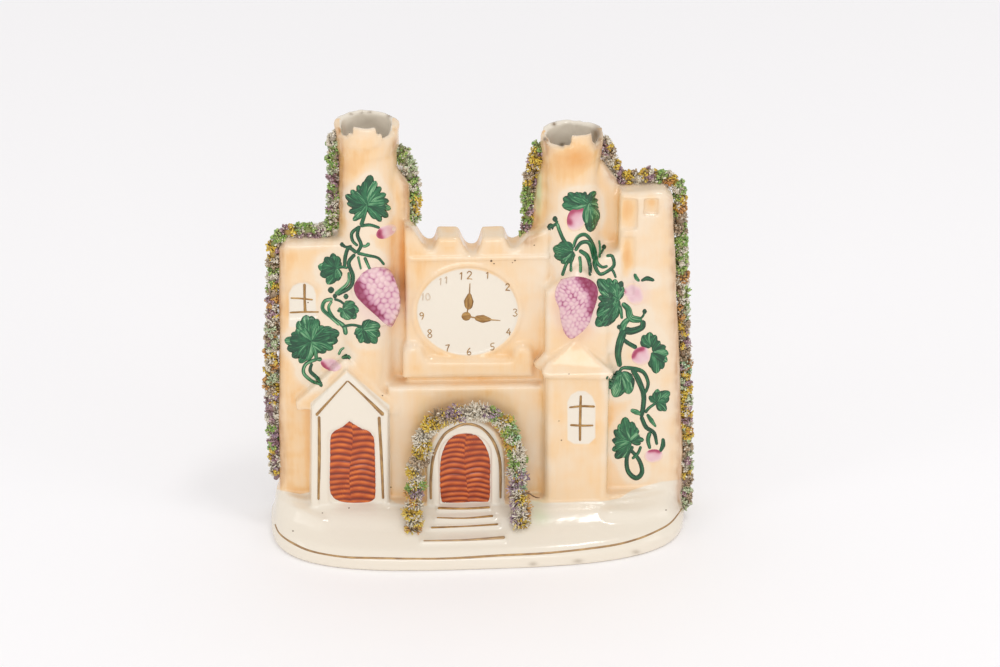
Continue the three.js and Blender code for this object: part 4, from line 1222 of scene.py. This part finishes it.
def bud(name, middle, half, lean, pull, reach):
    """A bud: an oval in the frame, its half-sizes and its lean, pale rose and crimson near the pull of
    the brush."""
    turn = np.linspace(0, 2 * pi, 12, endpoint=False)
    u, v = half[0] * np.cos(turn), half[1] * np.sin(turn)
    edge = zip(middle[0] + u * cos(lean) - v * sin(lean), middle[1] + u * sin(lean) + v * cos(lean))

    def colour(places):
        away = np.min([np.hypot(*(places - np.array(p)).T) for p in flowing(pull, 1.0)], axis=0)
        cloud = 0.07 * np.sin(places[:, 0] / 2.1) * np.sin(places[:, 1] / 2.7)
        x, y = (places - middle).T
        out = np.hypot((x * cos(lean) + y * sin(lean)) / half[0], (y * cos(lean) - x * sin(lean)) / half[1])
        thick = 0.3 * (1 - np.clip((out - 0.5) / 0.45, 0, 1) ** 1.5)
        return blended(thick + cloud * (out < 0.8) + 0.75 * np.exp(-(away / reach) ** 2), BUD_SHADES)
    plate(name, list(edge), cast, lambda places: np.full(len(places), 0.13), colour, berry_enamel)


bud("bud_upper_left", (386.5, 231.5), (11.5, 6.5), -0.45, [(378, 230), (378.5, 236), (382, 240)], 4.2)
bud("bud_lower_left", (331.5, 364.5), (11.5, 6.5), 0.25,
    [(321.5, 363), (325, 368.5), (330, 372), (337, 374.5)], 3.2)
bud("bud_right_tower", (577, 218.5), (10, 13.5), 0.35,
    [(583, 207), (573, 208.5), (567, 216), (567.5, 222)], 5.4)
bud("bud_right_upper", (634.5, 294), (10, 12), -0.5, [(622, 286), (624, 292)], 2.5)
bud("bud_right_middle", (641.5, 356), (10.5, 9.5), -0.5, [(632, 357), (636.5, 350.5), (643, 347.5)], 3.2)
bud("bud_right_lower", (653.5, 456), (10, 7), -0.1, [(649, 450.5), (655, 449.5), (660, 451)], 2.7)


# The ground colours: a thin peach enamel washed over the walls with a soft vertical brush. It pools in
# the hollows, is wiped thin round the vine, is thinner on upward faces as a painted highlight from above,
# and stops at the windows, the dial, the porch front and the base, which keep the cream-white of the
# glaze, as the back does.
# Soft spots of more or less wash. The two pale spots beside the wreath, at 400 and 534 across, are painted
# light that lightens the wall where the wreath shades it.
PEACH_AND_LIGHT_BLOBS = [
    (402, 262, 3.5, 34, 0.6), (342, 175, 5, 55, 0.3), (350, 165, 12, 20, 0.12), (284, 360, 12, 110, 0.18),
    (300, 262, 16, 18, 0.08), (536, 200, 7, 40, 0.3), (606, 240, 6, 45, 0.25), (572, 160, 26, 18, 0.62),
    (448, 242, 12, 9, 0.15), (494, 242, 12, 9, 0.15), (400, 455, 12, 70, -0.2), (534, 450, 12, 60, -0.16),
    (440, 398, 60, 7, 0.06), (375, 372, 20, 12, 0.2), (470, 376, 46, 12, -0.1), (570, 352, 24, 12, 0.14),
    (420, 270, 14, 20, 0.12), (520, 300, 14, 60, -0.05), (392, 345, 18, 45, -0.3), (378, 165, 9, 30, -0.22),
    (650, 250, 40, 80, -0.22), (665, 400, 35, 90, -0.3), (585, 470, 40, 30, -0.12),
    (545, 320, 14, 50, -0.18), (600, 345, 14, 40, -0.15), (300, 245, 26, 5, -0.2), (612, 180, 8, 16, -0.2),
    (650, 180, 40, 6, -0.25), (628, 212, 9, 15, 0.45), (627, 254, 7, 24, 0.42), (652, 203, 6, 8, 0.4),
    (345, 300, 30, 60, -0.12), (425, 350, 14, 20, -0.15), (545, 270, 14, 20, -0.2),
]
EVEN_COAT, POOLED, WIPED_BY_VINE, THIN_AND_LIT_ON_TOP = 0.46, 0.2, 0.5, 0.2
WASH_BACK, WASH_FOOT, HALO_REACH, POOL_REACH = 6.0, 18, 11, 6
ROSE_PATCHES = [(376, 297, 24, 31, 0.3), (577, 306, 24, 33, 0.3), (636, 292, 14, 15, 0.2)]
BARE_ZONES = [
    [(289, 327), (289, 293), (293, 286), (299, 283), (307, 283), (313, 287), (316, 294), (316, 327)],
    [(567.5, 440), (567.5, 402), (571, 395), (578, 391), (585, 391), (592, 396), (595.5, 404),
     (595.5, 438), (589, 444), (574, 444)],
    [(309.5, 520), (310.5, 403), (347.5, 372), (389.5, 405), (390.5, 520)],
    [(427, 520), (427, 470), (431, 446), (441, 430), (455, 421), (467, 418.5), (482, 422), (494, 432),
     (502, 448), (505, 470), (505, 520)],
    [(467.5 + 50.6 * cos(a), 312.2 + 43.4 * sin(a)) for a in np.linspace(0, 2 * pi, 40, endpoint=False)],
]
PEACH_FOOT = [
    (262, 486), (285, 491), (300, 494), (312, 492), (388, 497), (396, 503), (410, 506), (520, 504),
    (532, 500), (545, 503), (575, 502), (605, 501), (620, 498), (632, 490), (645, 486), (662, 482),
    (692, 478),
]


def soft_spots(blobs, x, y, fall=1):
    """The sum of soft round spots: middle, reach across and down in the frame, and strength; a greater
    fall makes their edges steeper."""
    total = 0
    for bx, by, rx, ry, strength in blobs:
        total = total + strength * np.exp(-(((x - bx) / rx) ** 2 + ((y - by) / ry) ** 2) ** fall)
    return total


def averaged(picture, reach):
    """A picture blurred both ways by a round-topped window."""
    weights = np.hanning(reach * 2 + 3)
    for axis in (0, 1):
        picture = np.apply_along_axis(np.convolve, axis, picture, weights / weights.sum(), "same")
    return picture


corners = np.zeros(len(castle.data.vertices) * 3, np.float32)
castle.data.vertices.foreach_get("co", corners)
corners = corners.reshape(-1, 3) / MM
leaving = unit(slope_at(corners))
seen = in_frame(corners)
across, down = seen.T

# The wash is wiped thin round the vine.
near_vine = np.zeros(FRAME)
columns = np.clip(np.round(painted_leaves).astype(int), 0, np.array(FRAME) - 1)
near_vine[tuple(columns.T)] = 1.0
near_vine = np.clip(averaged(near_vine, HALO_REACH) * 6, 0, 1)
halo = near_vine[tuple(np.clip(np.round(seen).astype(int), 0, np.array(FRAME) - 1).T)]

# It pools where a point lies behind the mean depth of the front round it, and thins where it stands out.
first_inside = np.argmax(body < 0, axis=1)
front_depth = np.where((body < 0).any(axis=1), GRID[1][first_inside], WASH_BACK)
sunk = averaged(front_depth, POOL_REACH)
cell = np.round((corners[:, [0, 2]] - LOW[[0, 2]]) / STEP).astype(int)
cell = np.clip(cell, 0, np.array(sunk.shape) - 1)
pool = np.clip((corners[:, 1] - sunk[tuple(cell.T)]) / 3.0, -0.8, 1.0)

# How far, in mm, each point lies inside the washed ground, negative outside it.
painted = (np.interp(across, *zip(*PEACH_FOOT)) - down) * PIXEL
for zone in BARE_ZONES:
    painted = np.minimum(painted, outline(zone, across, down) * PIXEL)
painted = np.minimum(painted, WASH_BACK - corners[:, 1])
bare_bore = in_towers(corners, 12.4) & (leaving[:, 2] < 0.9) & (corners[:, 2] > 150)
painted = np.where(bare_bore, -3.0, painted)
painted = np.where(corners[:, 2] < WASH_FOOT + 4, np.minimum(painted, corners[:, 2] - WASH_FOOT), painted)
# Less wash on upward faces paints them lighter, a painted highlight from above.
peach = (EVEN_COAT + POOLED * pool - WIPED_BY_VINE * halo + soft_spots(PEACH_AND_LIGHT_BLOBS, across, down)
         - THIN_AND_LIT_ON_TOP * np.clip(leaving[:, 2], 0, 1))
rose = soft_spots(ROSE_PATCHES, across, down, 2).clip(0, 1)
front = np.clip(-leaving[:, 1] * 2, 0, 1)
add_colours(castle, "wash", np.stack([np.clip(peach, 0, 1), 0.5 + np.clip(painted, -6, 6) / 12, rose * front,
                                      np.ones(len(corners))], axis=1))

# The walls turn brown within a few mm of the four strips, green at a few places, and the rims have chips.
beside = np.full(len(corners), 99.0)
for line in strips[:4]:
    for px, py in in_frame(line[::6]):
        beside = np.minimum(beside, np.hypot(across - px, down - py))
darker_beside_strips = np.exp(-np.clip(beside - 8, 0, 99) / 3.0) * front
GREEN_RUNS = [(538, 188, 4, 30, 0.9), (536, 507, 9, 14, 0.4), (543, 518, 9, 6, 0.25), (423, 460, 5, 40, 0.3)]
CHIPS = [
    (597, 134, 5, 9, 1.1), (351, 114, 2, 1.2, 0.8), (362, 112.5, 2, 1.2, 0.7), (370, 112, 2, 1.2, 0.8),
    (389, 116, 3, 2, 0.8), (554, 124, 2, 2, 1.2), (545, 139, 2, 2.5, 1.2), (562, 145, 2.5, 2, 1.0),
    (578, 561, 5, 2, 0.5), (636, 552, 4, 2, 0.5), (533, 564, 4, 2, 0.5),
]
moss = soft_spots(GREEN_RUNS, across, down)
chips = soft_spots(CHIPS, across, down)
add_colours(castle, "wear", np.stack([moss * front, darker_beside_strips, chips, np.ones(len(corners))], axis=1))

glaze, tree, shader = new_material("glazed earthenware", IOR=1.52)
wash = node(tree, "Attribute", {"attribute_name": "wash"})
wear = node(tree, "Attribute", {"attribute_name": "wear"})
wash_parts = node(tree, "SeparateColor", Color=wash)
wear_parts = node(tree, "SeparateColor", Color=wear)
place = node(tree, "TexCoord")
pulled = node(tree, "Mapping", Vector=place.outputs["Object"], Scale=(430.0, 430.0, 60.0))
hairs = node(tree, "TexNoise", Vector=pulled, Scale=1.0, Detail=3.0)
clouds = node(tree, "TexNoise", Vector=place.outputs["Object"], Scale=62.0, Detail=2.5)
hair_share = node(tree, "Math", {"operation": "MULTIPLY_ADD"}, _0=hairs, _1=0.26, _2=-0.13)
cloud_share = node(tree, "Math", {"operation": "MULTIPLY_ADD"}, _0=clouds, _1=0.9, _2=-0.45)
uneven = node(tree, "Math", {"operation": "ADD"}, _0=hair_share, _1=cloud_share)
amount = node(tree, "Math", {"operation": "ADD", "use_clamp": True}, _0=wash_parts.outputs["Red"], _1=uneven)
low_share = node(tree, "MapRange", Value=amount, From_Min=0.0, From_Max=0.6)
high_share = node(tree, "MapRange", Value=amount, From_Min=0.5, From_Max=1.0)
thin_wash = node(tree, "Mix", {"data_type": "RGBA"}, _0=low_share, _6=linear("#ebd8bf"), _7=linear("#edc591"))
full_wash = node(tree, "Mix", {"data_type": "RGBA"}, _0=high_share, _6=thin_wash.outputs[2],
                 _7=linear("#e3a45f"))
edge = node(tree, "Math", {"operation": "MULTIPLY_ADD"}, _0=clouds, _1=0.05, _2=-0.025)
edge_place = node(tree, "Math", {"operation": "ADD"}, _0=wash_parts.outputs["Green"], _1=edge)
covered = node(tree, "MapRange", Value=edge_place, From_Min=0.47, From_Max=0.53)
ground = node(tree, "Mix", {"data_type": "RGBA"}, _0=covered, _6=linear("#e7ddcd"), _7=full_wash.outputs[2])
rosy = node(tree, "Mix", {"data_type": "RGBA"}, _0=wash_parts.outputs["Blue"], _6=ground.outputs[2],
            _7=linear("#d9a5c0"))
mossy = node(tree, "Mix", {"data_type": "RGBA"}, _0=wear_parts.outputs["Red"], _6=rosy.outputs[2],
             _7=linear("#b9cf9c"))
beside_strip_share = node(tree, "Math", {"operation": "MULTIPLY"}, _0=wear_parts.outputs["Green"], _1=hairs)
darker = node(tree, "Mix", {"data_type": "RGBA"}, _0=beside_strip_share, _6=mossy.outputs[2], _7=linear("#a8713c"))
chipped = node(tree, "Mix", {"data_type": "RGBA"}, _0=wear_parts.outputs["Blue"], _6=darker.outputs[2],
               _7=linear("#8b755c"))
spots = node(tree, "TexVoronoi", Vector=place.outputs["Object"], Scale=75.0)
spot_parts = node(tree, "SeparateColor", Color=spots.outputs["Color"])
rare = node(tree, "Math", {"operation": "GREATER_THAN"}, _0=spot_parts.outputs["Red"], _1=0.86)
near_spot = node(tree, "MapRange", Value=spots, From_Min=0.035, From_Max=0.02)
speck = node(tree, "Math", {"operation": "MULTIPLY"}, _0=rare, _1=near_spot)
specked = node(tree, "Mix", {"data_type": "RGBA"}, _0=speck, _6=chipped.outputs[2], _7=linear("#6b5138"))
gloss = node(tree, "MapRange", Value=clouds, From_Min=0.3, From_Max=0.7, To_Min=0.09, To_Max=0.16)
waves = node(tree, "TexNoise", Vector=place.outputs["Object"], Scale=160.0, Detail=2.0)
ripple = node(tree, "Bump", Strength=0.35, Distance=0.0004, Height=waves)
feed(shader, Base_Color=specked.outputs[2], Roughness=gloss, Normal=ripple)
castle.data.materials.append(glaze)
